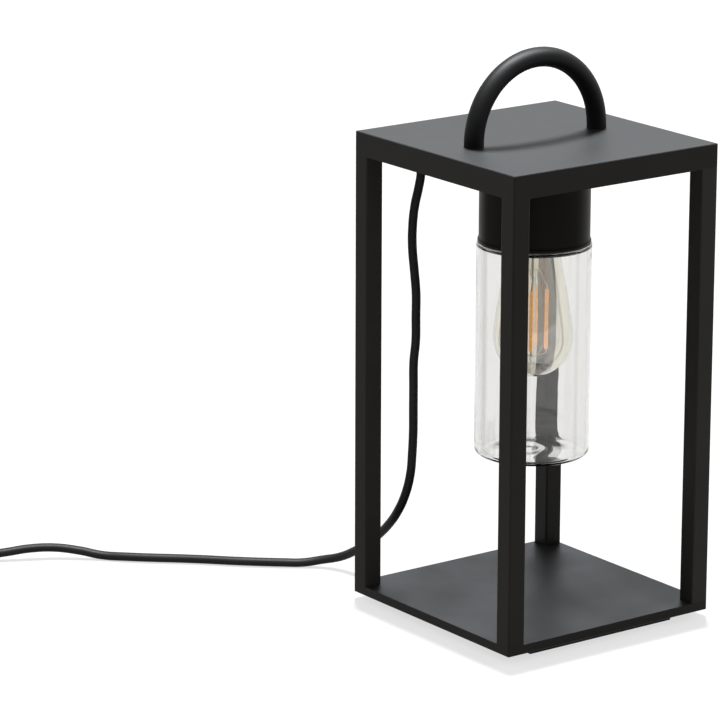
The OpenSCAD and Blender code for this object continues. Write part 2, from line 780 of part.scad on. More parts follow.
module base() color(coat) {
    rail_l = foot_len + 2 * rail_margin;
    rail_w = foot_w + 2 * rail_margin;
    difference() {
        union() {
            difference() {
                translate([0, 0, z_base_top]) mirror([0, 0, 1]) soft_block(frame_w, base_h, edge_r);
                translate([0, 0, foot_h - past])
                    linear_extrude(base_h - base_skin + past) tray_plan(base_wall);
            }
            translate([0, 0, foot_h]) linear_extrude(base_h - slip) {
                for (y = [-foot_at, foot_at]) translate([0, y]) square([rail_l, rail_w], center = true);
                for (x = [-rib_x, 0, rib_x]) translate([x, 0]) square([rib_t, 2 * foot_at], center = true);
                square([frame_w - 2 * base_wall + slip, rib_t], center = true);
            }
        }
        at_corners() rod(foot_h - past, z_base_top + past, rod_bore);
        at_corners() rod(foot_h - past, rod_seat, rod_head_d + 2 * screw_gap);
        at_foot_screws() rod(foot_h - past, foot_h + foot_screw_reach, small_tap_d);
    }
}

module foot_strips() color(rubber) {
    bottom_len = foot_len - 2 * foot_slant;
    difference() {
        for (y = [-foot_at, foot_at]) translate([0, y, 0]) rotate([90, 0, 0])
            linear_extrude(foot_w, center = true)
                polygon([[-bottom_len / 2, 0], [bottom_len / 2, 0],
                         [foot_len / 2, foot_h], [-foot_len / 2, foot_h]]);
        at_foot_screws() rod(-past, foot_h + past, small_screw_d + 2 * screw_gap);
        at_foot_screws() rod(-past, foot_seat, small_head_d + 2 * screw_gap);
    }
}

module foot_screws() color(steel) {
    reach = foot_h - foot_seat + foot_screw_reach - past;
    at_foot_screws() small_screw_up(foot_seat, reach);
}

module handle() color(satin) {
    difference() {
        union() {
            translate([0, 0, z_top + handle_leg]) rotate([90, 0, 0]) rotate_extrude(angle = 180)
                translate([handle_r, 0]) circle(d = handle_d);
            at_handle_feet() rod(z_top, z_top + handle_leg, handle_d);
        }
        at_handle_feet()
            rod(z_top - past, z_top + handle_screw_reach + past, handle_screw_d + 2 * thread_fit);
    }
}

module handle_screws() color(steel) {
    seat = handle_seat - handle_washer_t;
    reach = z_top - seat + handle_screw_reach;
    at_handle_feet()
        screw_up(seat, reach, handle_screw_d, handle_head_d, handle_head_h, handle_socket);
}

module handle_washers() color(steel) {
    at_handle_feet()
        ring(handle_seat - handle_washer_t, handle_seat, handle_washer_d, handle_screw_d + 2 * screw_gap);
}

module holder_cup() color(satin) {
    inner_r = cup_r - cup_wall;
    lip_r = cup_r + lip_out;
    rotate_extrude($fn = 96) polygon(concat(
        [[nipple_hole / 2, z_cup_top], [nipple_hole / 2, z_dome], [inner_r, z_dome], [inner_r, z_cup]],
        [[lip_r - edge_r / 2, z_cup], [lip_r, z_cup + edge_r / 2]],
        [[lip_r, z_cup + lip_h / 2], [cup_r, z_cup + lip_h]],
        arc([cup_r - edge_r, z_cup_top - edge_r], edge_r, 0, 90, 4)));
}

module cup_gasket() color(rubber) {
    ring(z_cup_top, z_liner, cup_d - 4 * edge_r, nipple_hole);
}

module holder_nipple() color(steel) {
    ring(nipple_low, nipple_top, nipple_d, nipple_bore);
}

module nipple_washer() color(steel) {
    ring(z_liner_top, z_liner_top + nipple_washer_t, nipple_washer_d, nipple_hole);
}

module nipple_nut() color(steel) {
    a = z_liner_top + nipple_washer_t;
    hex(a, a + locknut_t, nipple_flats, nipple_d + 2 * thread_fit);
}

module lampholder_dome() color(satin) {
    r = holder_d / 2;
    rotate_extrude() polygon(concat(
        [[nipple_d / 2 + thread_fit, z_dome], [nipple_d / 2 + thread_fit, nipple_low]],
        [[collar_r, nipple_low], [collar_r, z_dome - dome_wall]],
        [[r - dome_wall, z_dome - dome_wall], [r - dome_wall, z_holder]],
        [[r, z_holder]], arc([r - 2 * dome_wall, z_dome - 2 * dome_wall], 2 * dome_wall, 0, 90)));
}

module lampholder_insert() color(porcelain) {
    difference() {
        rod(z_holder, z_insert, insert_d);
        at_terminals() rod(z_holder + insert_floor, z_insert + past, small_tap_d);
    }
}

module lampholder_skirt() color(satin) {
    r = holder_d / 2;
    inner_r = shell_bore / 2 + shell_t + slip;
    lower_r = r - dome_wall / 2;
    rotate_extrude() polygon([
        [inner_r, z_skirt], [lower_r, z_skirt], [lower_r, z_holder - 2 * dome_wall],
        [r, z_holder - dome_wall], [r, z_holder], [inner_r, z_holder]]);
}

module lampholder_shell() color(brass) {
    r = shell_bore / 2 + shell_t;
    low = z_skirt + shell_lift;
    flange_r = r - shell_flange;
    rotate_extrude() polygon([
        [r - shell_t, low], [r, low], [r, z_holder], [flange_r, z_holder],
        [flange_r, z_holder - shell_t], [r - shell_t, z_holder - shell_t]]);
}

// Spring leaf under the insert, with a button in the middle
module centre_contact() color(brass) {
    translate([0, 0, z_holder - leaf_t / 2]) cube([leaf_l, leaf_w, leaf_t], center = true);
    rod(z_holder - spring_h, z_holder, spring_d);
}

module terminals() color(brass) {
    at_terminals() difference() {
        translate([0, 0, z_terminal]) cube([terminal_l, terminal_w, terminal_h], center = true);
        rod(z_insert - past, z_insert + terminal_h + past, small_screw_d + 2 * screw_gap);
    }
}

module terminal_screws() color(steel) {
    top = z_insert + terminal_h;
    at_terminals() rod(top, top + terminal_head_h, small_head_d);
    at_terminals() rod(z_holder + insert_floor + past, top, small_screw_d);
}

// The two lamp cores go over the liner and down the nipple to the terminals
module lamp_core(out, s) {
    tube(concat([for (p = out) beside_gland(p)], lamp_run(s), lamp_drop(s)), core_d, 6);
}

module core_live() color("#6b4423") {
    lamp_core(live_out, 1);
}

module core_neutral() color("#2f5fa8") {
    lamp_core(neutral_out, -1);
}

module core_earth() color("#7fa83a") {
    tube(concat([for (p = earth_out) beside_gland(p)], earth_in), core_d, 6);
}

// Ring lug with its barrel, under the earth boss
module earth_lug() color(steel) {
    at_earth() {
        ring(z_earth - earth_lug_t, z_earth, earth_lug_d, small_screw_d + 2 * screw_gap);
        translate([-earth_lug_l, -core_d / 2, z_earth - earth_lug_t])
            cube([earth_lug_l - earth_lug_d / 2 + 2 * screw_gap, core_d, earth_lug_t]);
    }
}

module earth_screw() color(brass) {
    at_earth() small_screw_up(z_earth - earth_lug_t, earth_lug_t + earth_screw_reach);
}

module gland_body() color(satin) {
    at_gland() difference() {
        union() {
            hex(z_liner - gland_hex_t, z_liner, gland_flats, gland_bore);
            rod(z_liner - gland_hex_t, gland_top, gland_d);
            rod(z_gland_seal + gland_seal_t, z_liner - gland_hex_t, gland_socket_d);
        }
        rod(z_gland, gland_top + past, gland_bore);
    }
}

module gland_seal() color(rubber) {
    at_gland() ring(z_gland_seal, z_gland_seal + gland_seal_t, gland_socket_d, cable_d + 2 * slip);
}

// Clamping nut with a round nose and six flats
module gland_nut() color(satin) {
    outer_r = gland_flats / 2 / cos(30);
    inner_r = gland_socket_d / 2 + slip;
    high = z_liner - gland_hex_t - slip;
    at_gland() intersection() {
        rotate_extrude() polygon(concat(
            [[inner_r, high], [inner_r, z_gland_seal]],
            [[gland_bore / 2, z_gland_seal], [gland_bore / 2, z_gland]],
            arc([outer_r - gland_round, z_gland + gland_round], gland_round, -90, 0), [[outer_r, high]]));
        rod(z_gland - past, high + past, 2 * outer_r, $fn = 6);
    }
}

module gland_locknut() color(satin) {
    at_gland() hex(z_liner_top, z_liner_top + locknut_t, locknut_flats, gland_d + 2 * thread_fit);
}

module supply_cable() color(rubber) {
    tube(lead_path, cable_d, 10);
}

module cable_coil() color(rubber) {
    tube(coil_path, cable_d, 6);
}

// Band round the bundle of turns, where both layers lie over each other
module cable_tie() color(satin) {
    turns = [for (a = [0:360 / coil_rings:coil_sweep])
                 if ((lead_angle + a - tie_angle) % 360 == 0) coil_point(a)];
    reach = [for (p = turns) norm([p[0] - coil_at[0], p[1] - coil_at[1]])];
    in_w = max(reach) - min(reach) + cable_d + 2 * tie_gap;
    in_h = coil_step + cable_d + 2 * tie_room;
    mid_z = coil_z + coil_step / 2;
    translate([coil_at[0], coil_at[1], mid_z]) rotate([0, 0, tie_angle])
        translate([(max(reach) + min(reach)) / 2, 0, 0]) rotate([90, 0, 0])
            linear_extrude(tie_w, center = true) difference() {
                square([in_w + 2 * tie_t, in_h + 2 * tie_t], center = true);
                square([in_w, in_h], center = true);
            }
}

// Turns Z to the way the plug's pins point, with the cable's entry at the origin
module at_plug() {
    translate(plug_at) rotate([90, 0, 0]) children();
}

module plug_boot() color(rubber) {
    tip_r = boot_tip_d / 2;
    root_r = boot_root_d / 2;
    bore_r = cable_d / 2 + cable_gap;
    rib_pitch = (boot_len - 2 * boot_end) / boot_ribs;
    rib_share = 0.6;
    ribs = [for (i = [0:boot_ribs - 1], part = [0, rib_share], high = part == 0 ? [0, 1] : [1, 0])
                let (s = (i + part) / boot_ribs)
                [tip_r + (root_r - tip_r) * s + high * boot_rib_h, boot_end + (i + part) * rib_pitch]];
    at_plug() rotate_extrude() polygon(concat(
        [[0, boot_len], [0, boot_socket], [bore_r, boot_socket], [bore_r, 0], [tip_r, 0]],
        ribs, [[root_r, boot_len]]));
}

// Side view of the grip between its flat sides, with the grooves cut out
module grip_plan() {
    first = (grip_len - (groove_count - 1) * groove_pitch) / 2;
    difference() {
        translate([-grip_w / 2, -past]) square([grip_w, grip_len + 2 * past]);
        for (s = [-1, 1], i = [0:groove_count - 1])
            translate([s * grip_w / 2, first + i * groove_pitch])
                square([2 * groove_depth, groove_w], center = true);
    }
}

// Grip with two grooved flat sides, collar, and a round nose with two slots for the earth clips
module plug_body() color(rubber) {
    tip_r = grip_tip_d / 2;
    grip_r = collar_d / 2 - collar_out;
    flange_r = collar_d / 2;
    nose_r = nose_d / 2;
    slot = [clip_w + 2 * slip, clip_slot + 2 * past, nose_len + 2 * past];
    at_plug() difference() {
        union() {
            intersection() {
                rotate_extrude() polygon(concat(
                    [[0, boot_len], [tip_r, boot_len]],
                    arc([tip_r, grip_end - grip_straight], grip_r - tip_r, -60, 0, 8),
                    [[grip_r, grip_end], [0, grip_end]]));
                translate([0, 0, boot_len]) rotate([90, 0, 90])
                    linear_extrude(2 * collar_d, center = true) grip_plan();
            }
            rotate_extrude() polygon([
                [0, grip_end], [flange_r - collar_bevel, grip_end], [flange_r, grip_end + collar_bevel],
                [flange_r, nose_at], [nose_r, nose_at], [nose_r, plug_face - nose_bevel],
                [nose_r - nose_bevel, plug_face], [0, plug_face]]);
        }
        for (s = [-1, 1])
            translate([0, s * (nose_r - clip_slot / 2 + past), nose_at + nose_len / 2 + past])
                cube(slot, center = true);
    }
}

module plug_pins() color(steel) {
    at_plug() for (s = [-1, 1]) translate([s * pin_pitch / 2, 0, plug_face]) {
        cylinder(h = pin_len - pin_tip, d = pin_d);
        translate([0, 0, pin_len - pin_tip]) cylinder(h = pin_tip, d1 = pin_d, d2 = pin_end_d);
    }
}

module plug_earth_clips() color(steel) {
    slot_floor = nose_d / 2 - clip_slot;
    at_plug() for (s = [-1, 1]) translate([0, s * (slot_floor + clip_t / 2), nose_at + nose_len / 2])
        cube([clip_w, clip_t, nose_len], center = true);
}

module jar_seal() color(rubber) {
    ring(z_shoulder, z_cup, 2 * (jar_r - shoulder_r) - slip, 2 * (neck_r + seat_gap));
}

module glass_jar() color(clear, 0.35) {
    inner_r = jar_r - jar_wall;
    inner_corner = max(jar_corner_r - jar_wall, 1);
    rotate_extrude($fn = 96) polygon(concat(
        [[0, z_jar]], arc([jar_r - jar_corner_r, z_jar + jar_corner_r], jar_corner_r, -90, 0, 8),
        arc([jar_r - shoulder_r, z_shoulder - shoulder_r], shoulder_r, 0, 90, 4),
        [[neck_r, z_shoulder], [neck_r, z_shoulder + neck_len - neck_bevel]],
        [[neck_r - neck_bevel, z_shoulder + neck_len], [neck_r - jar_wall, z_shoulder + neck_len]],
        [[neck_r - jar_wall, z_shoulder - shoulder_r], [inner_r, z_shoulder - shoulder_r - neck_slope]],
        arc([inner_r - inner_corner, z_jar + jar_floor + inner_corner], inner_corner, 0, -90, 6),
        [[0, z_jar + jar_floor]]));
}

module bulb_insulator() color("#222226") {
    low_r = contact_d / 2 + insulator_foot;
    high_r = contact_d / 2 + insulator_top;
    top = z_insulator + insulator_h;
    rotate_extrude() polygon([[0, z_insulator], [low_r, z_insulator], [high_r, top], [0, top]]);
}

module bulb_contact() color(brass) {
    a = z_insulator + insulator_h;
    rotate_extrude() polygon(concat(
        [[0, a], [contact_d / 2, a]],
        arc([contact_d / 2 - contact_h, a], contact_h, 0, 90), [[0, a + contact_h]]));
}

// Outline of the cap's thread, from the end of the glass upwards, drawn in by t
function thread_line(t) =
    [for (i = [0:thread_steps * thread_ridges])
         [cap_d / 2 - t - cap_thread * (1 - cos(360 * i / thread_steps)) / 2,
          z_cap + bulb_neck_in + seat_gap + cap_pitch * i / thread_steps]];

// Screw cap: plain edge round the glass, thread, and a slanted shoulder up to the insulator
module bulb_cap() color(steel) {
    r = cap_d / 2;
    top = z_insulator - seat_gap;
    bend = top - cap_shoulder;
    throat_r = contact_d / 2 + cap_throat;
    rotate_extrude() polygon(concat(
        [[r - cap_wall, z_cap], [r, z_cap]], thread_line(0),
        [[r, bend], [throat_r, top], [throat_r - cap_rim, top], [throat_r - cap_rim, top - cap_wall]],
        [[throat_r - cap_wall, top - cap_wall], [r - cap_wall, bend - cap_wall]],
        reversed(thread_line(cap_wall))));
}

// Outline of the bulb's glass, from its tip up to its neck, drawn in by t
function bulb_line(t) =
    concat(arc([0, z_wide], bulb_r - t, -90, 0, 10),
           [for (i = [1:12])
                cubic([bulb_r - t, z_wide], [bulb_r - t, z_wide + belly_rise],
                      [waist_d / 2 - t, z_cap - waist_drop],
                      [bulb_neck_r - t, z_cap - bulb_neck_show], i / 12)],
           [[bulb_neck_r - t, z_cap + bulb_neck_in]]);

module bulb_envelope() color("#e9e4cf", 0.35) {
    rotate_extrude() polygon(concat(bulb_line(0), reversed(bulb_line(bulb_wall))));
}

// Flared glass stem with the rod that holds the lower ends of the filaments
module bulb_stem() color(clear, 0.5) {
    r = stem_d / 2;
    rod_r = stem_rod_d / 2;
    rod_low = z_filament - stem_rod_low;
    press_z = z_filament_top + press_gap;
    flare_r = bulb_neck_r - bulb_wall - seat_gap;
    flare_z = z_cap + bulb_neck_in - flare_edge;
    rotate_extrude() polygon([
        [0, rod_low], [rod_r, rod_low], [rod_r, press_z - press_taper], [(rod_r + 3 * r) / 4, press_z],
        [r, press_z + 2 * press_taper], [r, flare_z - flare_h],
        [(4 * r + flare_r) / 5, flare_z - flare_h / 2], [flare_r - flare_edge, flare_z - 1.5 * flare_edge],
        [flare_r, flare_z], [flare_r - flare_edge, flare_z], [0, flare_z - 6 * flare_edge]]);
}

module at_filaments() {
    for (i = [0:filament_count - 1]) rotate([0, 0, filament_turn + i * 360 / filament_count]) children();
}

module bulb_filaments() color("#e08a2c") {
    at_filaments() translate([filament_ring / 2, 0, 0]) rod(z_filament, z_filament_top, filament_d);
}

// Straight wire in the XZ plane from a to b
module wire(a, b) {
    way = b - a;
    translate([a[0], 0, a[1]]) rotate([0, atan2(way[0], way[1]), 0])
        cylinder(h = norm(way), d = lead_d, $fn = 16);
}

module bulb_leads() color(steel) {
    gap = lead_d / 2 + seat_gap;
    at_filaments() {
        wire([filament_ring / 2, z_filament_top + gap], [stem_d / 2 + gap, z_filament_top + wire_high]);
        wire([stem_rod_d / 2 + gap, z_filament - wire_low], [filament_ring / 2, z_filament - gap]);
    }
}

roof();
roof_liner();
liner_screws();
post(-1, -1);  // post_front_left
post(1, -1);  // post_front_right
post(-1, 1);  // post_back_left
post(1, 1);  // post_back_right
post_plugs();
tie_rods();
base();
foot_strips();
foot_screws();
handle();
handle_screws();
handle_washers();
holder_cup();
cup_gasket();
holder_nipple();
nipple_washer();
nipple_nut();
lampholder_dome();
lampholder_insert();
lampholder_skirt();
lampholder_shell();
centre_contact();
terminals();
terminal_screws();
core_live();
core_neutral();
core_earth();
earth_lug();
earth_screw();
gland_body();
gland_seal();
gland_nut();
gland_locknut();
supply_cable();
cable_coil();
cable_tie();
plug_boot();
plug_body();
plug_pins();
plug_earth_clips();
jar_seal();
glass_jar();
bulb_insulator();
bulb_contact();
bulb_cap();
bulb_envelope();
bulb_stem();
bulb_filaments();
bulb_leads();
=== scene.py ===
"""Looks of an outdoor lantern: a black frame, a glass jar over a filament bulb, and a rubber lead."""
import math

import bmesh
import bpy
from mathutils import Matrix, Quaternion, Vector


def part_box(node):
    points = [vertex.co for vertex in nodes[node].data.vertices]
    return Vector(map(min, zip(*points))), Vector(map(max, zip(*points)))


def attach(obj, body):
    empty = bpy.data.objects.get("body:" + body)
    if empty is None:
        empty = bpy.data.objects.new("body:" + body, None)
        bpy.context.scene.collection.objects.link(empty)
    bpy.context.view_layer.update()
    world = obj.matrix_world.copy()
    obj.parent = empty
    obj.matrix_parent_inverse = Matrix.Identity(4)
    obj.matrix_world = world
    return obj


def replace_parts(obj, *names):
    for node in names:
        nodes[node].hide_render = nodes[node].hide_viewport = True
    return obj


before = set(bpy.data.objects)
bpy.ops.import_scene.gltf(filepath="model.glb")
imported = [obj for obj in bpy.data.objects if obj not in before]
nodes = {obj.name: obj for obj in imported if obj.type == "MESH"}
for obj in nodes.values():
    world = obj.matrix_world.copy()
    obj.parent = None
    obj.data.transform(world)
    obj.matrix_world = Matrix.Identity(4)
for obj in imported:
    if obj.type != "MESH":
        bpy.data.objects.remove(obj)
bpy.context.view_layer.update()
scene = bpy.context.scene
MM = 0.001
TURN = 2 * math.pi


# Shapes: each function gives a list of points in millimetres and a list of faces

def turned(profile, steps, closed=False, swell=None):
    """Turns (radius, height) points about Z. swell(radius, height, angle) is added to a point's radius."""
    points, rings, faces = [], [], []
    for radius, height in profile:
        if radius == 0:
            rings.append([len(points)] * steps)
            points.append((0, 0, height))
            continue
        rings.append(list(range(len(points), len(points) + steps)))
        for k in range(steps):
            angle = TURN * k / steps
            reach = radius + (swell(radius, height, angle) if swell else 0)
            points.append((reach * math.cos(angle), reach * math.sin(angle), height))
    pairs = list(zip(rings, rings[1:]))
    if closed:
        pairs.append((rings[-1], rings[0]))
    for low, high in pairs:
        for k in range(steps):
            after = (k + 1) % steps
            faces.append(list(dict.fromkeys((low[k], low[after], high[after], high[k]))))
    return points, faces


def swept(path, outline):
    """Carries a closed outline, as (across, up) pairs, along a path without twisting, and closes its ends."""
    path = [Vector(p) for p in path]
    ways = [(path[min(i + 1, len(path) - 1)] - path[max(i - 1, 0)]).normalized() for i in range(len(path))]
    side = ways[0].orthogonal().normalized()
    points, faces, count = [], [], len(outline)
    for place, way in zip(path, ways):
        side = (side - side.dot(way) * way).normalized()
        up = way.cross(side)
        points += [tuple(place + a * side + b * up) for a, b in outline]
    for i in range(len(path) - 1):
        for k in range(count):
            a, b = i * count + k, i * count + (k + 1) % count
            faces.append([a, b, b + count, a + count])
    faces.append(list(range(count))[::-1])
    faces.append(list(range(len(points) - count, len(points))))
    return points, faces


def joined(shapes):
    points, faces = [], []
    for more_points, more_faces in shapes:
        start = len(points)
        points += more_points
        faces += [[start + i for i in face] for face in more_faces]
    return points, faces


def moved(shape, matrix):
    points, faces = shape
    return [tuple(matrix @ Vector(p)) for p in points], faces


def at(x, y, z):
    return Matrix.Translation((x, y, z))


def about_z(angle):
    return Matrix.Rotation(angle, 4, "Z")


def arc(centre, radius, start, end, steps):
    """Points of an arc between two angles in degrees."""
    angles = [math.radians(start + (end - start) * i / steps) for i in range(steps + 1)]
    return [(centre[0] + radius * math.cos(a), centre[1] + radius * math.sin(a)) for a in angles]


def circle(radius, steps):
    return [(radius * math.cos(TURN * k / steps), radius * math.sin(TURN * k / steps)) for k in range(steps)]


def line(start, end, steps):
    """Points from start to end, without start."""
    return [tuple(a + (b - a) * (i + 1) / steps for a, b in zip(start, end)) for i in range(steps)]


def ease(t):
    """0 up to t = 0, 1 from t = 1, and a smooth rise between."""
    t = min(max(t, 0.0), 1.0)
    return t * t * (3 - 2 * t)


def low_of(node):
    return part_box(node)[0] / MM


def high_of(node):
    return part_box(node)[1] / MM


def piece(name, shape, material, body, replaced=(), sharp=35):
    """Makes a shape into a piece of the object that rides on a body. Edges over sharp degrees stay crisp."""
    points, faces = shape
    mesh = bpy.data.meshes.new(name)
    mesh.from_pydata([tuple(MM * c for c in p) for p in points], [], faces)
    turner = bmesh.new()
    turner.from_mesh(mesh)
    bmesh.ops.recalc_face_normals(turner, faces=turner.faces)
    turner.to_mesh(mesh)
    turner.free()
    mesh.shade_smooth()
    mesh.set_sharp_from_angle(angle=math.radians(sharp))
    mesh.materials.append(material)
    made = bpy.data.objects.new(name, mesh)
    scene.collection.objects.link(made)
    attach(made, body)
    if replaced:
        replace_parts(made, *replaced)
    return made


# Materials

NOISE_LOW, NOISE_HIGH = 0.3, 0.7


def shader_of(material):
    return material.node_tree.nodes["Principled BSDF"]


def new_material(name, **values):
    """A material whose shader sockets, named with _ for spaces, have these values."""
    made = bpy.data.materials.new(name)
    made.use_nodes = True
    for socket, value in values.items():
        shader_of(made).inputs[socket.replace("_", " ")].default_value = value
    return made


def add(material, kind, output, **inputs):
    """Adds a node, sets or links its inputs, and gives its output."""
    made = material.node_tree.nodes.new("ShaderNode" + kind)
    for name, value in inputs.items():
        socket = made.inputs[name.replace("_", " ")]
        if isinstance(value, bpy.types.NodeSocket):
            material.node_tree.links.new(value, socket)
        else:
            socket.default_value = value
    return made.outputs[output]


def link(material, socket, value):
    material.node_tree.links.new(value, shader_of(material).inputs[socket])


def grain(material, size, detail, stretch=(1, 1, 1)):
    """Noise with patches of about this size in millimetres, drawn out along the axes by stretch."""
    place = add(material, "TexCoord", "Object")
    scale = tuple(1 / (size * MM * s) for s in stretch)
    place = add(material, "Mapping", "Vector", Vector=place, Scale=scale)
    return add(material, "TexNoise", "Fac", Vector=place, Scale=1.0, Detail=detail)


def between(material, share, low, high, start=NOISE_LOW, end=NOISE_HIGH):
    """A number that goes from low to high as share goes from start to end."""
    return add(material, "MapRange", "Result", Value=share,
               From_Min=start, From_Max=end, To_Min=low, To_Max=high)


def colours(material, share, dark, light):
    """A colour that goes from dark to light over the middle of the noise."""
    made = material.node_tree.nodes.new("ShaderNodeValToRGB")
    material.node_tree.links.new(share, made.inputs["Fac"])
    stops = made.color_ramp.elements
    stops[0].position, stops[0].color = NOISE_LOW, (*dark, 1)
    stops[1].position, stops[1].color = NOISE_HIGH, (*light, 1)
    return made.outputs["Color"]


def relief(material, height, depth):
    """Raises the surface by up to depth in millimetres where height is 1."""
    return add(material, "Bump", "Normal", Height=height, Distance=depth * MM, Strength=1.0)


def textured(made, patches, tones, marks, rough, spread, bumps, depth):
    """Colour by the patches between two tones, roughness by the marks, and relief by the bumps."""
    link(made, "Base Color", colours(made, patches, *tones))
    link(made, "Roughness", between(made, marks, rough - spread, rough + spread))
    link(made, "Normal", relief(made, bumps, depth))
    return made


def powder_coat(name, dark, light, rough, shine):
    """Baked paint: a fine orange peel with broad, faint patches."""
    made = new_material(name, Specular_IOR_Level=shine)
    broad = grain(made, size=60, detail=3)
    fine = grain(made, size=0.9, detail=2)
    return textured(made, broad, (dark, light), broad, rough, spread=0.05, bumps=fine, depth=0.035)


def soft_rubber(name, dark, light, rough, shine):
    """Rubber with a dusty, uneven shine."""
    made = new_material(name, Specular_IOR_Level=shine)
    broad = grain(made, size=25, detail=3)
    fine = grain(made, size=0.5, detail=3)
    return textured(made, broad, (dark, light), fine, rough, spread=0.08, bumps=fine, depth=0.03)


def moulded(name, dark, light, rough):
    """Plastic from a finely eroded mould."""
    made = new_material(name)
    broad = grain(made, size=12, detail=3)
    fine = grain(made, size=0.35, detail=2)
    return textured(made, broad, (dark, light), broad, rough, spread=0.05, bumps=fine, depth=0.012)


def metal(name, dark, light, rough, drawn=(1, 1, 1)):
    """Bare metal with fine marks along the way it was drawn."""
    made = new_material(name, Metallic=1.0)
    marks = grain(made, size=0.4, detail=3, stretch=drawn)
    broad = grain(made, size=9, detail=3)
    return textured(made, broad, (dark, light), marks, rough, spread=0.08, bumps=marks, depth=0.008)


def blown_glass(name, tint, ior, wave, wave_depth):
    """Clear glass with the faint, upright waves of a blown wall and a few smears."""
    made = new_material(name, Base_Color=(*tint, 1), Transmission_Weight=1.0, IOR=ior)
    waves = grain(made, wave, detail=2, stretch=(1, 1, 4))
    smears = grain(made, size=30, detail=4)
    link(made, "Roughness", between(made, smears, low=0.0, high=0.03, start=0.45, end=0.8))
    link(made, "Normal", relief(made, waves, wave_depth))
    return made


def absorb(material, tint, density):
    """Darkens light by the length of its way through the glass."""
    volume = add(material, "VolumeAbsorption", "Volume", Color=(*tint, 1), Density=density)
    output = material.node_tree.nodes["Material Output"]
    material.node_tree.links.new(volume, output.inputs["Volume"])


def filament_coat_and_glow():
    """Amber coating over a row of small chips, which show as paler beads, with a painted glow that stands in
    for light the glass keeps from them.
    """
    # The emission is painted light: an amber glow in place of light that the jar and bulb glass keep from the
    # filaments.
    made = new_material("filament_coat_and_glow", Specular_IOR_Level=0.4, Emission_Color=(1.0, 0.50, 0.20, 1),
                        Emission_Strength=0.75)
    beads = grain(made, size=1.3, detail=1, stretch=(4, 4, 1))
    tones = (0.72, 0.27, 0.045), (0.95, 0.52, 0.16)
    return textured(made, beads, tones, beads, rough=0.4, spread=0.1, bumps=beads, depth=0.05)


coat = powder_coat("powder_coat", (0.0108, 0.0101, 0.0091), (0.0132, 0.0124, 0.0112), rough=0.48, shine=0.06)
satin = powder_coat("satin_coat", (0.0024, 0.0024, 0.0024), (0.0034, 0.0034, 0.0034), rough=0.52, shine=0.12)
# The cup's coat is a darker copy of the frame's black coat: painted shade, for the cup sits under the roof
# inside the frame.
shaded_cup_coat = powder_coat("shaded_cup_coat", (0.0046, 0.0038, 0.0024), (0.0058, 0.0049, 0.0034), rough=0.38, shine=0.05)
rubber = soft_rubber("black_rubber", (0.0050, 0.0050, 0.0052), (0.0085, 0.0085, 0.0088), rough=0.5, shine=0.4)
lead_rubber = soft_rubber("lead_rubber", (0.0036, 0.0036, 0.0034), (0.0060, 0.0060, 0.0057), rough=0.5,
                          shine=0.12)
plastic = moulded("black_plastic", (0.006, 0.006, 0.0065), (0.010, 0.010, 0.0105), rough=0.45)
gloss = moulded("black_insulator", (0.006, 0.006, 0.008), (0.012, 0.012, 0.014), rough=0.15)
glazed = moulded("glazed_ceramic", (0.74, 0.71, 0.65), (0.80, 0.78, 0.73), rough=0.16)
steel = metal("plated_steel", (0.52, 0.53, 0.54), (0.66, 0.67, 0.68), rough=0.3, drawn=(1, 1, 6))
brass = metal("plain_brass", (0.62, 0.44, 0.17), (0.78, 0.60, 0.27), rough=0.28)
brown = moulded("brown_core", (0.11, 0.045, 0.018), (0.17, 0.075, 0.03), rough=0.45)
blue = moulded("blue_core", (0.03, 0.10, 0.34), (0.05, 0.15, 0.44), rough=0.45)
green = moulded("green_core", (0.12, 0.28, 0.03), (0.50, 0.48, 0.05), rough=0.45)
jar_glass = blown_glass("jar_glass", (0.95, 0.947, 0.941), ior=1.46, wave=5, wave_depth=0.014)
absorb(jar_glass, (0.5, 0.495, 0.47), density=105)
bulb_glass = blown_glass("bulb_glass", (0.96, 0.945, 0.875), ior=2.2, wave=9, wave_depth=0.004)
stem_glass = blown_glass("stem_glass", (0.86, 0.88, 0.80), ior=1.5, wave=3, wave_depth=0.05)
amber = filament_coat_and_glow()

COATED = {
    coat: ["roof", "roof_liner", "post_front_left", "post_front_right", "post_back_left", "post_back_right",
           "base"],
    # The foot strips take the darker lead rubber as painted shade under the base's edge.
    lead_rubber: ["foot_strips"],
    rubber: ["cup_gasket", "gland_seal", "jar_seal", "plug_boot"],
    plastic: ["lampholder_dome", "gland_body", "gland_locknut"],
    steel: ["post_plugs", "handle_screws", "handle_washers", "holder_nipple", "nipple_washer", "nipple_nut",
            "terminal_screws", "earth_lug", "plug_pins", "plug_earth_clips"],
    brass: ["centre_contact", "terminals", "earth_screw", "bulb_contact"],
    glazed: ["lampholder_insert"],
    gloss: ["bulb_insulator"],
    brown: ["core_live"],
    blue: ["core_neutral"],
    green: ["core_earth"],
}
for finish, names in COATED.items():
    for name in names:
        nodes[name].data.materials.clear()
        nodes[name].data.materials.append(finish)


# Camera, at the photograph's place

CAMERA_AT = (-1.8211, -2.2688, 0.9773)
CAMERA_AZIMUTH = math.radians(-36.350)
CAMERA_ELEVATION = math.radians(15.276)
CAMERA_ROLL = math.radians(0.172)
SENSOR_MM = 36
LENS_MM = 213.2
TO_CAMERA = Vector((math.sin(CAMERA_AZIMUTH), -math.cos(CAMERA_AZIMUTH), 0))
UP = Vector((0, 0, 1))


def photo_camera():
    back = math.cos(CAMERA_ELEVATION) * TO_CAMERA + math.sin(CAMERA_ELEVATION) * UP
    made = bpy.data.objects.new("photo_camera", bpy.data.cameras.new("photo_camera"))
    made.data.sensor_width = SENSOR_MM
    made.data.lens = LENS_MM
    made.location = CAMERA_AT
    made.rotation_mode = "QUATERNION"
    made.rotation_quaternion = (-back).to_track_quat("-Z", "Y") @ Quaternion(UP, CAMERA_ROLL)
    scene.collection.objects.link(made)
    scene.camera = made


photo_camera()
scene.view_settings.view_transform = "Standard"


# Stage: a pale floor and a white surround

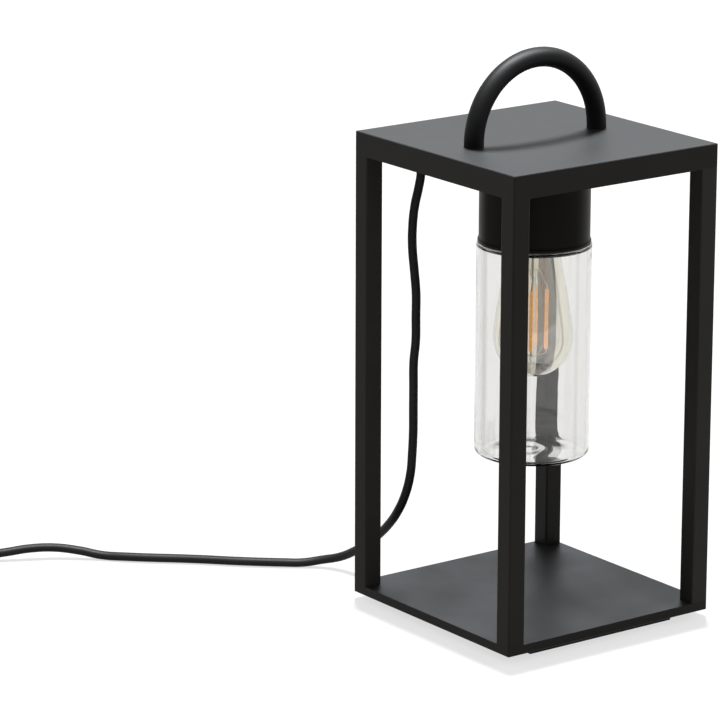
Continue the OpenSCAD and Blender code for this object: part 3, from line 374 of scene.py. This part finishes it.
FLOOR_REACH = 12.0
FLOOR_DROP = 0.0002
FLOOR_PATCH = 400
FLOOR_TONES = (0.245, 0.245, 0.245), (0.255, 0.255, 0.255)
FLOOR_GLOW = 0.66
ROOM_FRONT, ROOM_BACK = 0.5, 0.95
ROOM_TURN = 0.7
BACKDROP = 1.05


def floor():
    """A dull floor with a glow of its own, so that it is nearly white where no shadow falls."""
    made = new_material("floor", Roughness=0.9, Specular_IOR_Level=0.0, Emission_Color=(1, 1, 1, 1),
                        Emission_Strength=FLOOR_GLOW)
    link(made, "Base Color", colours(made, grain(made, FLOOR_PATCH, detail=2), *FLOOR_TONES))
    mesh = bpy.data.meshes.new("floor")
    sides = (-1, -1), (1, -1), (1, 1), (-1, 1)
    mesh.from_pydata([(FLOOR_REACH * x, FLOOR_REACH * y, -FLOOR_DROP) for x, y in sides], [], [(0, 1, 2, 3)])
    mesh.materials.append(made)
    ground = bpy.data.objects.new("floor", mesh)
    scene.collection.objects.link(ground)
    return ground


def surround():
    """A studio that is bright behind the lantern and dim before it, and plain white to the camera."""
    world = bpy.data.worlds.new("surround")
    scene.world = world
    world.use_nodes = True
    tree = world.node_tree
    sky = tree.nodes["Background"]
    sky.inputs["Color"].default_value = (1, 1, 1, 1)
    facing = tree.nodes.new("ShaderNodeVectorMath")
    facing.operation = "DOT_PRODUCT"
    facing.inputs[1].default_value = -TO_CAMERA
    room = tree.nodes.new("ShaderNodeMapRange")
    room.inputs["From Min"].default_value = -ROOM_TURN
    room.inputs["From Max"].default_value = ROOM_TURN
    room.inputs["To Min"].default_value = ROOM_FRONT
    room.inputs["To Max"].default_value = ROOM_BACK
    path = tree.nodes.new("ShaderNodeLightPath")
    level = tree.nodes.new("ShaderNodeMapRange")
    level.inputs["To Max"].default_value = BACKDROP
    tree.links.new(tree.nodes.new("ShaderNodeTexCoord").outputs["Generated"], facing.inputs[0])
    tree.links.new(facing.outputs["Value"], room.inputs["Value"])
    tree.links.new(room.outputs["Result"], level.inputs["To Min"])
    tree.links.new(path.outputs["Is Camera Ray"], level.inputs["Value"])
    tree.links.new(level.outputs["Result"], sky.inputs["Strength"])


ground = floor()
surround()


# Lead: the route of the solids in millimetres, the coil at its end and the strap round the coil

GLAND = (-57, 57)
GLAND_TOP, GLAND_END = 338, 319
LYING = 3.3
LEAD_HANG = [
    (-58, 58, 306), (-60, 60, 292), (-61, 61, 277), (-61, 61, 262), (-60, 60, 246), (-59, 59, 229),
    (-59, 59, 212), (-59, 59, 195), (-60, 60, 178), (-60, 60, 161), (-60, 60, 144), (-60, 60, 127),
    (-60, 61, 111), (-60, 63, 95), (-60, 69, 78), (-60, 78, 63), (-59, 90, 50), (-58, 103, 39),
    (-57, 118, 28), (-57, 134, 18), (-60, 149, 10), (-67, 161, 6)]
LEAD_FLOOR = [
    (-78, 171, LYING), (-90, 180, LYING), (-104, 192, LYING), (-118, 205, LYING), (-132, 219, LYING),
    (-146, 232, LYING), (-161, 245, LYING), (-175, 258, LYING), (-188, 272, LYING), (-201, 284, LYING + 3),
    (-215, 295, LYING + 5), (-231, 304, LYING + 5), (-247, 312, LYING + 3), (-264, 321, LYING + 1)]
LEAD_DROP, LEAD_RUN = 4, 16
CABLE_D = 6.5
COIL_AT = Vector((-326, 302, 4.5))
COIL_R = 47
COIL_STEP = 7.1
COIL_LOOPS = 5
COIL_RINGS = 24
LEAD_ANGLE, TAIL_ANGLE, TIE_ANGLE = 60, 180, 120
COIL_SWEEP = 360 * COIL_LOOPS + TAIL_ANGLE - LEAD_ANGLE
PLUG_AT = Vector((-373, 256, 21.2))
BOOT_SOCKET = 10
TAIL_STEPS = 5


def coil_radius(turned_by):
    return COIL_R - COIL_STEP * (COIL_SWEEP / 2 - abs(turned_by - COIL_SWEEP / 2)) / 360


def coil_point(turned_by):
    """Spirals in on the lower layer, climbs while it turns back, and spirals out on the upper layer."""
    angle = math.radians(LEAD_ANGLE + turned_by)
    radius = coil_radius(turned_by)
    rise = COIL_STEP * ease((turned_by - COIL_SWEEP / 2) / 180 + 0.5)
    return COIL_AT + Vector((radius * math.cos(angle), radius * math.sin(angle), rise))


def cable_route():
    start = [(*GLAND, GLAND_TOP), (*GLAND, GLAND_END), (*GLAND, GLAND_END - LEAD_DROP)]
    angle = math.radians(LEAD_ANGLE)
    way = Vector((-math.sin(angle), math.cos(angle), 0))
    coil_in = COIL_AT + COIL_R * Vector((math.cos(angle), math.sin(angle), 0)) - CABLE_D * way
    turns = [coil_point(360 * i / COIL_RINGS) for i in range(COIL_SWEEP * COIL_RINGS // 360 + 1)]
    last = turns[-1]
    tail = []
    for i in range(1, TAIL_STEPS + 1):
        share = i / TAIL_STEPS
        y = last.y + share * (PLUG_AT.y - last.y)
        z = last.z + ease(share) * (PLUG_AT.z - last.z)
        tail.append((PLUG_AT.x, y, z))
    end = PLUG_AT - Vector((0, BOOT_SOCKET, 0))
    return start + LEAD_HANG + LEAD_FLOOR + [coil_in - LEAD_RUN * way, coil_in] + turns + tail + [end]


def supply_cable():
    curve = bpy.data.curves.new("supply_lead", "CURVE")
    curve.dimensions = "3D"
    curve.bevel_depth = CABLE_D / 2 * MM
    curve.bevel_resolution = 5
    curve.resolution_u = 6
    curve.use_fill_caps = True
    route = cable_route()
    spline = curve.splines.new("BEZIER")
    spline.bezier_points.add(len(route) - 1)
    for point, place in zip(spline.bezier_points, route):
        point.co = Vector(place) * MM
        point.handle_left_type = point.handle_right_type = "AUTO"
    curve.materials.append(lead_rubber)
    made = bpy.data.objects.new("supply_lead", curve)
    scene.collection.objects.link(made)
    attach(made, "root")
    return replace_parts(made, "supply_cable", "cable_coil")


TIE_W = 10
TIE_T = 0.8
TIE_GAP = 0.9
TIE_ROOM = 0.35
TIE_LAP = 3.0
TIE_LAP_SHARES = (1, 1, 0.9, 0.5)


def cable_tie():
    """A strap round the bundle of turns, with its end lapped over on top."""
    reach = [coil_radius(a) for a in range(TIE_ANGLE - LEAD_ANGLE, COIL_SWEEP + 1, 360)]
    half_w = (max(reach) - min(reach) + CABLE_D) / 2 + TIE_GAP
    half_h = (COIL_STEP + CABLE_D) / 2 + TIE_ROOM
    corner = CABLE_D / 2
    corner_steps = 6

    def loop(out):
        corners = [(half_w - corner, half_h - corner), (corner - half_w, half_h - corner),
                   (corner - half_w, corner - half_h), (half_w - corner, corner - half_h)]
        return [p for i, c in enumerate(corners)
                for p in arc(c, corner + out, 90 * i, 90 * i + 90, corner_steps)]

    def band(inner, outer, closed):
        """A strip of the strap's width between two outlines."""
        count = len(inner)
        points = [(x, s * TIE_W / 2, z) for s in (-1, 1) for side in (inner, outer) for x, z in side]
        near_in, near_out, far_in, far_out = [range(i * count, i * count + count) for i in range(4)]
        faces = []
        for k in range(count if closed else count - 1):
            n = (k + 1) % count
            faces += [[near_in[k], near_in[n], near_out[n], near_out[k]],
                      [far_in[k], far_out[k], far_out[n], far_in[n]],
                      [near_in[k], far_in[k], far_in[n], near_in[n]],
                      [near_out[k], near_out[n], far_out[n], far_out[k]]]
        if not closed:
            faces += [[near_in[0], near_out[0], far_out[0], far_in[0]],
                      [near_in[-1], far_in[-1], far_out[-1], near_out[-1]]]
        return points, faces

    top = half_h + TIE_T
    lap_in = [(x, top) for x in (half_w - corner, TIE_LAP, 0.0, -TIE_LAP)]
    lap_out = [(x, top + share * TIE_T) for (x, _), share in zip(lap_in, TIE_LAP_SHARES)]
    shape = joined([band(loop(0), loop(TIE_T), True), band(lap_in, lap_out, False)])
    middle = (max(reach) + min(reach)) / 2
    place = at(COIL_AT.x, COIL_AT.y, COIL_AT.z + COIL_STEP / 2)
    place = place @ about_z(math.radians(TIE_ANGLE)) @ at(middle, 0, 0)
    return piece("lead_strap", moved(shape, place), rubber, "root", ["cable_tie"])


# Plug, with its pins along local Z

BOOT_LEN = 32
GRIP_LEN, GRIP_STRAIGHT = 32, 6
COLLAR_T = 4
NOSE_LEN = 17
GRIP_TIP_R, GRIP_R, COLLAR_R, NOSE_R = 8.5, 19, 21, 18.5
GRIP_EDGE, COLLAR_EDGE, NOSE_EDGE = 1, 0.4, 1.5
GRIP_FLAT, GRIP_SQUARE = 13.5, 8
GROOVES, GROOVE_FIRST, GROOVE_PITCH, GROOVE_DEPTH = 4, 9.25, 4.5, 0.7
GROOVE_HALF_W, GROOVE_SLOPE = 1.2, 0.5
GROOVE_END, GROOVE_FADE = 0.6, 0.1
CLIP_HALF_W, CLIP_FLOOR = 3.15, 16.5


def plug_body():
    """Grip with two flat, grooved sides, a round collar, and a nose with slots for the earth clips."""
    grip_end = BOOT_LEN + GRIP_LEN
    nose_at = grip_end + COLLAR_T
    face = nose_at + NOSE_LEN
    steps, ring_gap = 144, 0.5
    plain, grip, nose = range(3)

    def grip_r(z):
        return GRIP_TIP_R + (GRIP_R - GRIP_TIP_R) * ease((z - BOOT_LEN) / (GRIP_LEN - GRIP_STRAIGHT))

    def groove(z):
        spot = (z - BOOT_LEN - GROOVE_FIRST) / GROOVE_PITCH
        nearest = min(max(round(spot), 0), GROOVES - 1)
        return GROOVE_DEPTH * ease((GROOVE_HALF_W - GROOVE_PITCH * abs(spot - nearest)) / GROOVE_SLOPE)

    grip_start = BOOT_LEN + GRIP_EDGE
    rings = [(0, BOOT_LEN, plain), (GRIP_TIP_R - GRIP_EDGE, BOOT_LEN, grip), (GRIP_TIP_R, grip_start, grip)]
    for i in range(1, int((GRIP_LEN - GRIP_EDGE) / ring_gap)):
        z = grip_start + ring_gap * i
        rings.append((grip_r(z), z, grip))
    for inset, height in ((1, 0), (0.3, 0.3), (0, 1)):
        rings.append((COLLAR_R - inset * GRIP_EDGE, grip_end + height * GRIP_EDGE, plain))
    rings += [(COLLAR_R, nose_at - COLLAR_EDGE, plain), (COLLAR_R - COLLAR_EDGE, nose_at, plain)]
    rings += [(NOSE_R, nose_at, nose), (NOSE_R, face - NOSE_EDGE, nose)]
    rings += [(NOSE_R - NOSE_EDGE / 3, face - NOSE_EDGE / 3, nose), (NOSE_R - NOSE_EDGE, face, nose)]
    rings += [(0, face, plain)]
    part_at = {(radius, z): part for radius, z, part in rings}

    def reshaped(radius, z, angle):
        part = part_at[radius, z]
        across = abs(math.sin(angle))
        reach = radius
        if part == grip:
            flat = GRIP_FLAT - groove(z) * ease((across - GROOVE_END) / GROOVE_FADE)
            reach = (radius ** -GRIP_SQUARE + (across / flat) ** GRIP_SQUARE) ** (-1 / GRIP_SQUARE)
        if part == nose and abs(radius * math.cos(angle)) < CLIP_HALF_W:
            reach = min(radius, CLIP_FLOOR / across)
        return reach - radius

    shape = turned([(radius, z) for radius, z, _ in rings], steps, swell=reshaped)
    place = Matrix.Translation(PLUG_AT) @ Matrix.Rotation(math.radians(90), 4, "X")
    return piece("plug_grip", moved(shape, place), rubber, "root", ["plug_body"], sharp=40)


def lead_and_plug():
    plug = plug_body()
    strap = cable_tie()
    lead = supply_cable()
    return lead


lead = lead_and_plug()


# Handle

def handle():
    """A half ring on short legs."""
    low, high = low_of("handle"), high_of("handle")
    bend_steps, bar_steps = 72, 48
    bar_r = (high.y - low.y) / 2
    bend_r = high.x - bar_r
    leg = high.z - bar_r - bend_r - low.z
    bend = [(x, 0, z) for x, z in arc((0, low.z + leg), bend_r, 0, 180, bend_steps)]
    path = [(bend_r, 0, low.z)] + bend + [(-bend_r, 0, low.z)]
    return piece("carrying_handle", swept(path, circle(bar_r, bar_steps)), satin, "root",
                 ["handle"])


# Cup and lamp holder

JAR_PITCH = 4.0
CAP_PITCH = 3.63
RUN_OUT = 1.5


def thread(height, angle, pitch):
    """0 at the root of a right-handed thread and 1 at its crest."""
    return 0.5 + 0.5 * math.cos(TURN * (height / pitch - angle / TURN))


def along(height, start, end, run_out=RUN_OUT):
    """1 on the way from start to end, and 0 beyond them, where a thread has run out."""
    return ease((height - start) / run_out) * ease((end - height) / run_out)


def holder_cup():
    """Cup with a wider lip and the jar's thread inside it."""
    low, high = low_of("holder_cup"), high_of("holder_cup")
    lip_r, lip_h, lip_out, lip_edge = high.x, 3.0, 0.8, 0.6
    wall, round_r, top_t, hole_r, chamfer = 1.8, 1.2, 2.5, 5.2, 0.4
    groove, thread_start, thread_end, smooth = 0.7, low.z + 1, low.z + 13, 2
    steps, thread_steps, lip_steps = 144, 40, 6
    cup_r = lip_r - lip_out
    inner_r = cup_r - wall
    lip_z = low.z + 2 * lip_edge
    inner = [(inner_r, low.z + chamfer)]
    inner += line(inner[0], (inner_r, thread_end + smooth), thread_steps)
    profile = [(hole_r, high.z), (hole_r, high.z - top_t), (inner_r, high.z - top_t)] + inner[::-1]
    profile += [(inner_r + chamfer, low.z), (lip_r - lip_edge, low.z)]
    profile += arc((lip_r - lip_edge, low.z + lip_edge), lip_edge, -90, 0, steps=4)
    for share in [i / lip_steps for i in range(lip_steps + 1)]:
        profile.append((lip_r - lip_out * ease(share), lip_z + (low.z + lip_h - lip_z) * share))
    profile += arc((cup_r - round_r, high.z - round_r), round_r, 0, 90, steps=6)

    def cut(radius, height, angle):
        if radius != inner_r:
            return 0
        return groove * along(height, thread_start, thread_end) * thread(height, angle, JAR_PITCH)

    piece("lamp_cup", turned(profile, steps, True, cut), shaded_cup_coat, "root", ["holder_cup"])


def lampholder_skirt():
    """Fluted skirt with a plain ring at its top."""
    low, high = low_of("lampholder_skirt"), high_of("lampholder_skirt")
    bore_r, skirt_r, ring_r, ring_h = 14.3, 19.0, 20.0, 4.0
    chamfer, edge, plain_h, slope_h = 0.5, 0.8, 1.5, 1
    flutes, flute_depth, steps = 36, 0.35, 216
    ring_z = high.z - ring_h
    profile = [(bore_r, high.z), (bore_r, low.z + chamfer), (bore_r + chamfer, low.z)]
    profile += [(skirt_r - edge, low.z)] + arc((skirt_r - edge, low.z + edge), edge, -90, 0, steps=4)
    profile += [(skirt_r, ring_z - plain_h), (skirt_r, ring_z), (ring_r, ring_z + slope_h), (ring_r, high.z)]

    def flute(radius, height, angle):
        if not math.isclose(radius, skirt_r):
            return 0
        return -flute_depth * (1 - math.cos(flutes * angle))

    piece("lampholder_sleeve", turned(profile, steps, True, flute), plastic, "root",
          ["lampholder_skirt"])


def lampholder_shell():
    """Brass screw shell with a flange at its top."""
    low, high = low_of("lampholder_shell"), high_of("lampholder_shell")
    inner_r, wall, depth, flange_r, flange_t = 13.55, 0.15, 0.4, 11.15, 0.5
    thread_end, run_out = high.z - 0.6, 2
    steps, thread_steps = 96, 60
    span = thread_end - low.z
    inside = [(inner_r, low.z + span * i / thread_steps) for i in range(thread_steps + 1)]
    outside = [(inner_r + wall, z) for _, z in inside]
    flange = [(inner_r + wall, high.z), (flange_r, high.z), (flange_r, high.z - flange_t)]

    def rolled(radius, height, angle):
        return depth * along(height, low.z, thread_end, run_out) * thread(height, angle, CAP_PITCH)

    shape = turned(outside + flange + inside[::-1], steps, True, rolled)
    piece("lampholder_thread", shape, brass, "root", ["lampholder_shell"])


def hexagon(flats, angle):
    """Reach of a hexagon with this width across its flats."""
    return flats / 2 / math.cos((angle + math.pi / 6) % (math.pi / 3) - math.pi / 6)


def gland_nut():
    """Clamping nut with six flats and a round nose."""
    low, high = low_of("gland_nut"), high_of("gland_nut")
    flats, bore_r, socket_r, socket_z, nose = 15, 3.55, 5.75, low.z + 2, 2
    chamfer, bevel_h, bevel_w, steps = 0.4, 0.5, 0.3, 144
    corner_r = flats / 2 / math.cos(math.pi / 6)
    profile = [(socket_r, high.z), (socket_r, socket_z), (bore_r, socket_z), (bore_r, low.z + chamfer)]
    profile += [(bore_r + chamfer, low.z)] + arc((corner_r - nose, low.z + nose), nose, -90, 0, steps=12)
    profile += [(corner_r, high.z - bevel_h), (corner_r - bevel_w, high.z)]

    def flat(radius, height, angle):
        return min(hexagon(flats, angle) - radius, 0)

    shape = moved(turned(profile, steps, True, flat), at(*GLAND, 0))
    piece("gland_cap_nut", shape, plastic, "root", ["gland_nut"])


# Screws, heads down

def screw(seat, reach, shank_r, head_r, head_h, socket_flats):
    """Round-headed screw whose head lies below its seat and has a hexagon socket."""
    steps, edge, socket_depth = 48, 0.35, 1.1
    head_z = seat - head_h
    socket_r = socket_flats / 2
    profile = [(0, head_z + socket_depth), (socket_r, head_z + socket_depth), (socket_r, head_z)]
    profile += [(head_r - edge, head_z), (head_r, head_z + edge), (head_r, seat), (shank_r, seat)]
    profile += [(shank_r, seat + reach - edge), (shank_r - edge, seat + reach), (0, seat + reach)]

    def socket(radius, height, angle):
        return hexagon(socket_flats, angle) - socket_r if radius == socket_r else 0

    return turned(profile, steps, False, socket)


def screws(name, node, shank_r, head_r, head_h, socket_flats):
    """The four screws of a node, whose heads fill the corners of its box."""
    low, high = low_of(node), high_of(node)
    seat = low.z + head_h
    one = screw(seat, high.z - seat, shank_r, head_r, head_h, socket_flats)
    spots = [(sx * (high.x - head_r), sy * (high.y - head_r)) for sx in (-1, 1) for sy in (-1, 1)]
    shape = joined([moved(one, at(x, y, 0)) for x, y in spots])
    piece(name, shape, steel, "root", [node])


# Glass jar, whose inner wall has waves given by depth, count round the wall, lean with height and start

WALL_WAVES = [(0.10, 2, 0, 0.7), (0.06, 3, -1 / 41, 0), (0.008, 17, 1 / 19, 0), (0.0064, 29, -1 / 27, 0)]


def glass_jar():
    """Blown jar with a pushed-up floor, an uneven inner wall and a screw thread on its neck."""
    low, high = low_of("glass_jar"), high_of("glass_jar")
    outer_r, wall, floor_t = high.x, 2.0, 2.0
    inner_r = outer_r - wall
    corner_r, inner_corner = 4.0, 3.0
    push, inner_push = 1.2, 0.6
    shoulder_z, shoulder_r, shoulder_t, drop = low_of("jar_seal").z, 1.4, 1.2, 1.3
    crest_r, ridge, neck_in_r, rim_r = 37.05, 0.8, 34.25, 0.8
    thread_start, thread_end = shoulder_z + 0.5, high.z - 1
    ripple, ripple_w, ripple_shift, ripple_way, calm = 0.34, 24.0, 3.0, 2.3, 8
    wave_top = shoulder_z - 9
    steps, push_steps, wall_steps, neck_steps, drop_steps, ripple_steps = 192, 10, 60, 36, 8, 40
    root_r = crest_r - ridge
    floor_z, rim_z, under_z = low.z + floor_t, high.z - rim_r, shoulder_z - shoulder_t
    ripple_low, ripple_high = floor_z - 1, floor_z + 2
    flat_r, inner_flat = outer_r - corner_r, inner_r - inner_corner

    profile = [(flat_r * i / push_steps, low.z + push * ease(1 - i / push_steps)) for i in range(push_steps)]
    profile += arc((flat_r, low.z + corner_r), corner_r, -90, 0, steps=12)
    profile += line((outer_r, low.z + corner_r), (outer_r, shoulder_z - shoulder_r), wall_steps)
    profile += arc((outer_r - shoulder_r, shoulder_z - shoulder_r), shoulder_r, 0, 90, steps=6)[1:]
    profile += [(root_r, shoulder_z)] + line((root_r, shoulder_z), (root_r, rim_z), neck_steps)
    profile += arc((root_r - rim_r, rim_z), rim_r, 0, 90, steps=4)[1:]
    profile += arc((neck_in_r + rim_r, rim_z), rim_r, 90, 180, steps=4)
    profile += [(neck_in_r, under_z)]
    for share in [i / drop_steps for i in range(1, drop_steps + 1)]:
        profile.append((neck_in_r + (inner_r - neck_in_r) * ease(share), under_z - drop * share))
    profile += line((inner_r, under_z - drop), (inner_r, floor_z + inner_corner), wall_steps)
    profile += arc((inner_flat, floor_z + inner_corner), inner_corner, 0, -90, steps=8)[1:]
    for share in [i / ripple_steps for i in range(1, ripple_steps)]:
        radius = inner_flat * (1 - share)
        waves = ripple * math.sin(TURN * (inner_flat - radius) / ripple_w) * ease(radius / calm)
        profile.append((radius, floor_z + inner_push * ease(share) + waves))
    profile.append((0, floor_z + inner_push))

    def uneven(radius, height, angle):
        if radius < inner_flat and ripple_low < height < ripple_high:
            return ripple_shift * math.cos(angle - ripple_way) * along(radius, 0, inner_flat, calm)
        if radius == root_r:
            return ridge * along(height, thread_start, thread_end) * thread(height, angle, JAR_PITCH) ** 2
        if radius == inner_r and height < wave_top:
            return sum(depth * math.sin(count * angle + lean * height + start)
                       for depth, count, lean, start in WALL_WAVES)
        return 0

    piece("blown_jar", turned(profile, steps, False, uneven), jar_glass, "jar", ["glass_jar"])


# Bulb

FILAMENTS = 4
FILAMENT_TURN = math.radians(43)
FILAMENT_RING_R = 9.5
STEM_ROD_R, STEM_TUBE_R = 1.3, 3.5


def round_filaments(shape):
    """One copy of a shape for each filament."""
    return joined([moved(shape, about_z(FILAMENT_TURN + TURN * i / FILAMENTS)) for i in range(FILAMENTS)])


def bulb_envelope():
    """Round bulb that runs to its neck in one curve."""
    low, high = low_of("bulb_envelope"), high_of("bulb_envelope")
    bulb_r, wall = high.x, 0.8
    cap_z = low_of("bulb_cap").z
    neck_r, waist_r, neck_drop, waist_drop, belly_rise = 12.35, 20.3, 1, 28, 12
    steps, tip_steps, curve_steps = 144, 32, 48
    wide_z = low.z + bulb_r

    def outline(inset):
        bends = [(bulb_r - inset, wide_z), (bulb_r - inset, wide_z + belly_rise),
                 (waist_r - inset, cap_z - waist_drop), (neck_r - inset, cap_z - neck_drop)]
        curve = []
        for t in [i / curve_steps for i in range(1, curve_steps + 1)]:
            weights = ((1 - t) ** 3, 3 * (1 - t) ** 2 * t, 3 * (1 - t) * t * t, t ** 3)
            curve.append(tuple(sum(w * p[k] for w, p in zip(weights, bends)) for k in (0, 1)))
        tip = [(0, wide_z - bulb_r + inset)] + arc((0, wide_z), bulb_r - inset, -90, 0, tip_steps)[1:]
        return tip + curve + [(neck_r - inset, high.z)]

    profile = outline(0) + outline(wall)[::-1]
    piece("bulb_glass", turned(profile, steps), bulb_glass, "bulb", ["bulb_envelope"])


def bulb_stem():
    """Drawn glass rod, pressed flat where the wires pass, that flares out to the bulb's neck."""
    low, high = low_of("bulb_stem"), high_of("bulb_stem")
    rod_r, tube_r, cone_r, cone_h, tube_h = STEM_ROD_R, STEM_TUBE_R, STEM_TUBE_R - 0.4, 6, 6
    press_z = high_of("bulb_filaments").z + 7
    press_low, press_high, press_in, press_out, press_share = press_z - 3, press_z + 8, 3, 4, 0.3
    cone_z = press_z - 4
    flare_r, flare_h, flare_bend = high.x, 12, 2.2
    flare_t, hollow_gap, hollow_h, hollow_tip = 0.9, 0.2, 5, 7
    steps, flare_steps = 64, 10
    flare_z = high.z - flare_h
    profile = [(0, low.z)] + arc((0, low.z + rod_r), rod_r, -75, 0, steps=5) + [(rod_r, cone_z)]
    profile += [(rod_r + (cone_r - rod_r) * ease(i / cone_h), cone_z + i) for i in range(1, cone_h + 1)]
    profile += [(tube_r, press_z + tube_h), (tube_r, flare_z)]
    for share in [i / flare_steps for i in range(1, flare_steps + 1)]:
        profile.append((tube_r + (flare_r - tube_r) * share ** flare_bend, flare_z + flare_h * share))
    profile += [(flare_r - flare_t, high.z), (tube_r + hollow_gap, high.z - hollow_h)]
    profile += [(0, high.z - hollow_tip)]

    def pressed(radius, height, angle):
        squeeze = ease((height - press_low) / press_in) * ease((press_high - height) / press_out)
        return -press_share * radius * squeeze * math.sin(angle + FILAMENT_TURN) ** 2 if radius > rod_r else 0

    shape = turned(profile, steps, False, pressed)
    piece("stem_glass_rod", shape, stem_glass, "bulb", ["bulb_stem"])


def bulb_filaments():
    """Four coated rods with a bare metal tab at each end."""
    low, high = low_of("bulb_filaments"), high_of("bulb_filaments")
    ring_r, bar_r, bar_steps = FILAMENT_RING_R, 1.5, 24
    beads, bead_steps, bead_share = 22, 4, 0.07
    dome, dome_tip = 1.2, 0.05
    tab, tab_in, tab_w, tab_t = 2.2, 0.6, 1.1, 0.24
    start = low.z + tab
    length = high.z - low.z - 2 * tab
    profile = [(0, start)]
    for share in [i / (bead_steps * beads) for i in range(bead_steps * beads + 1)]:
        ends = min(1.0, share * length / dome, (1 - share) * length / dome)
        domed = math.sqrt(max(1 - (1 - ends) ** 2, dome_tip))
        swell = 1 - bead_share + bead_share * math.cos(TURN * share * beads)
        profile.append((bar_r * swell * domed, start + share * length))
    profile.append((0, high.z - tab))
    bar = moved(turned(profile, bar_steps), at(ring_r, 0, 0))
    piece("filament_bars", round_filaments(bar), amber, "bulb", ["bulb_filaments"], sharp=60)
    outline = [(sx * tab_w / 2, sy * tab_t / 2) for sx, sy in ((-1, -1), (1, -1), (1, 1), (-1, 1))]
    spans = (low.z, start + tab_in), (high.z - tab - tab_in, high.z)
    tabs = joined([swept([(ring_r, 0, a), (ring_r, 0, b)], outline) for a, b in spans])
    piece("filament_tabs", round_filaments(tabs), steel, "bulb")


def bulb_leads():
    """Bent wires from the stem to the ends of the filaments, as (radius, rise) from those ends."""
    bottom, top = low_of("bulb_filaments").z, high_of("bulb_filaments").z
    ring_r, wire_r, wire_steps = FILAMENT_RING_R, 0.35, 10
    upper = [(STEM_TUBE_R + wire_r, 11), (STEM_TUBE_R + 2.0, 8.5), (ring_r - 2.0, 3), (ring_r - 0.4, 1),
             (ring_r, 0)]
    lower = [(STEM_ROD_R + wire_r, -3), (STEM_ROD_R + 3, -2.2), (ring_r - 2.5, -1.2), (ring_r - 0.5, -0.6),
             (ring_r, 0)]
    paths = [[(radius, 0, end + rise) for radius, rise in bends]
             for end, bends in ((top, upper), (bottom, lower))]
    wires = joined([swept(path, circle(wire_r, wire_steps)) for path in paths])
    piece("filament_wires", round_filaments(wires), steel, "bulb", ["bulb_leads"])


def bulb_cap():
    """Rolled screw cap, crimped on to the neck."""
    low, high = low_of("bulb_cap"), high_of("bulb_cap")
    cap_r, wall, depth, throat_r, throat_in = high.x, 0.5, 1.2, 9.0, 2
    crimp_z, crimp_w, crimp_depth = low.z + 2, 0.5, 0.25
    thread_start, thread_end = low.z + 6.2, high.z - 2.5
    steps, thread_steps = 96, 80
    straight = thread_end - low.z
    outer = [(cap_r, low.z + straight * i / thread_steps) for i in range(thread_steps + 1)]
    inner = [(cap_r - wall, z) for _, z in outer]
    top = [(throat_r, high.z), (throat_r - throat_in, high.z), (throat_r - throat_in, high.z - wall),
           (throat_r - wall, high.z - wall)]

    def rolled(radius, height, angle):
        valley = 1 - thread(height, angle, CAP_PITCH)
        crimp = crimp_depth * math.exp(-((height - crimp_z) / crimp_w) ** 2)
        return -depth * along(height, thread_start, thread_end) * valley - crimp

    shape = turned(outer + top + inner[::-1], steps, True, rolled)
    piece("bulb_screw_cap", shape, steel, "bulb", ["bulb_cap"])


handle_bar = handle()
holder_cup()
lampholder_skirt()
lampholder_shell()
gland_nut()
screws("frame_tie_rods", "tie_rods", shank_r=2, head_r=4, head_h=2.6, socket_flats=4)
screws("roof_liner_screws", "liner_screws", shank_r=1.5, head_r=2.8, head_h=2, socket_flats=2.5)
screws("foot_strip_screws", "foot_screws", shank_r=1.5, head_r=2.8, head_h=2, socket_flats=2.5)
glass_jar()
bulb_envelope()
bulb_stem()
bulb_filaments()
bulb_leads()
bulb_cap()


# Lights: a far one for the floor's shadows, a soft one on everything, and others kept to a few pieces each

MIDDLE = (0, 0, 0.2)


def hang(lamp, way, only):
    """Puts a lamp in the scene, shining this way. Where only names some things, it reaches nothing else."""
    made = bpy.data.objects.new(lamp.name, lamp)
    made.rotation_euler = way.to_track_quat("-Z", "Y").to_euler()
    scene.collection.objects.link(made)
    if only:
        lit = bpy.data.collections.new(lamp.name)
        for thing in only:
            lit.objects.link(thing)
        made.light_linking.receiver_collection = lit
    return made


def high_sun(tilt, spread, power, only):
    """A far light, tilted back from the vertical, whose shadows fall a little towards the camera."""
    lamp = bpy.data.lights.new("high_sun", "SUN")
    lamp.angle = math.radians(spread)
    lamp.energy = power
    hang(lamp, math.sin(math.radians(tilt)) * TO_CAMERA - math.cos(math.radians(tilt)) * UP, only)


def softbox(name, place, target, size, power, tint=(1, 1, 1), only=()):
    """A soft rectangular light, aimed from its place at a target."""
    lamp = bpy.data.lights.new(name, "AREA")
    lamp.color = tint
    lamp.shape = "RECTANGLE"
    lamp.size, lamp.size_y = size
    lamp.energy = power
    hang(lamp, Vector(target) - Vector(place), only).location = place


high_sun(tilt=3.9, spread=1.2, power=3.5, only=[ground])
softbox("top_softbox", place=(0.42, 0.57, 2.05), target=MIDDLE, size=(0.4, 0.4), power=245,
        tint=(0.82, 0.91, 1.0), only=[nodes["roof"]])
softbox("handle_softbox", place=(0.36, -0.02, 2.2), target=(0.24, -0.18, 0.37), size=(1.8, 0.4), power=300,
        tint=(0.95, 0.97, 1.0), only=[handle_bar])
softbox("low_softbox", place=(1.5, 2.0, 0.8), target=(0, 0, 0), size=(2.0, 1.4), power=19,
        tint=(0.84, 0.92, 1.0), only=[nodes["base"]])
softbox("back_softbox", place=(1.5, 2.0, 1.0), target=MIDDLE, size=(2.0, 1.4), power=4,
        tint=(0.94, 0.97, 1.0))
softbox("post_softbox", place=(0.3, -2.0, 0.6), target=MIDDLE, size=(1.0, 1.0), power=15,
        only=[nodes["post_front_right"], nodes["post_back_left"]])
softbox("lead_softbox", place=(-0.3, 0.0, 2.0), target=(-0.15, 0.2, 0), size=(0.8, 0.8), power=200,
        tint=(0.97, 0.98, 1.0), only=[lead])
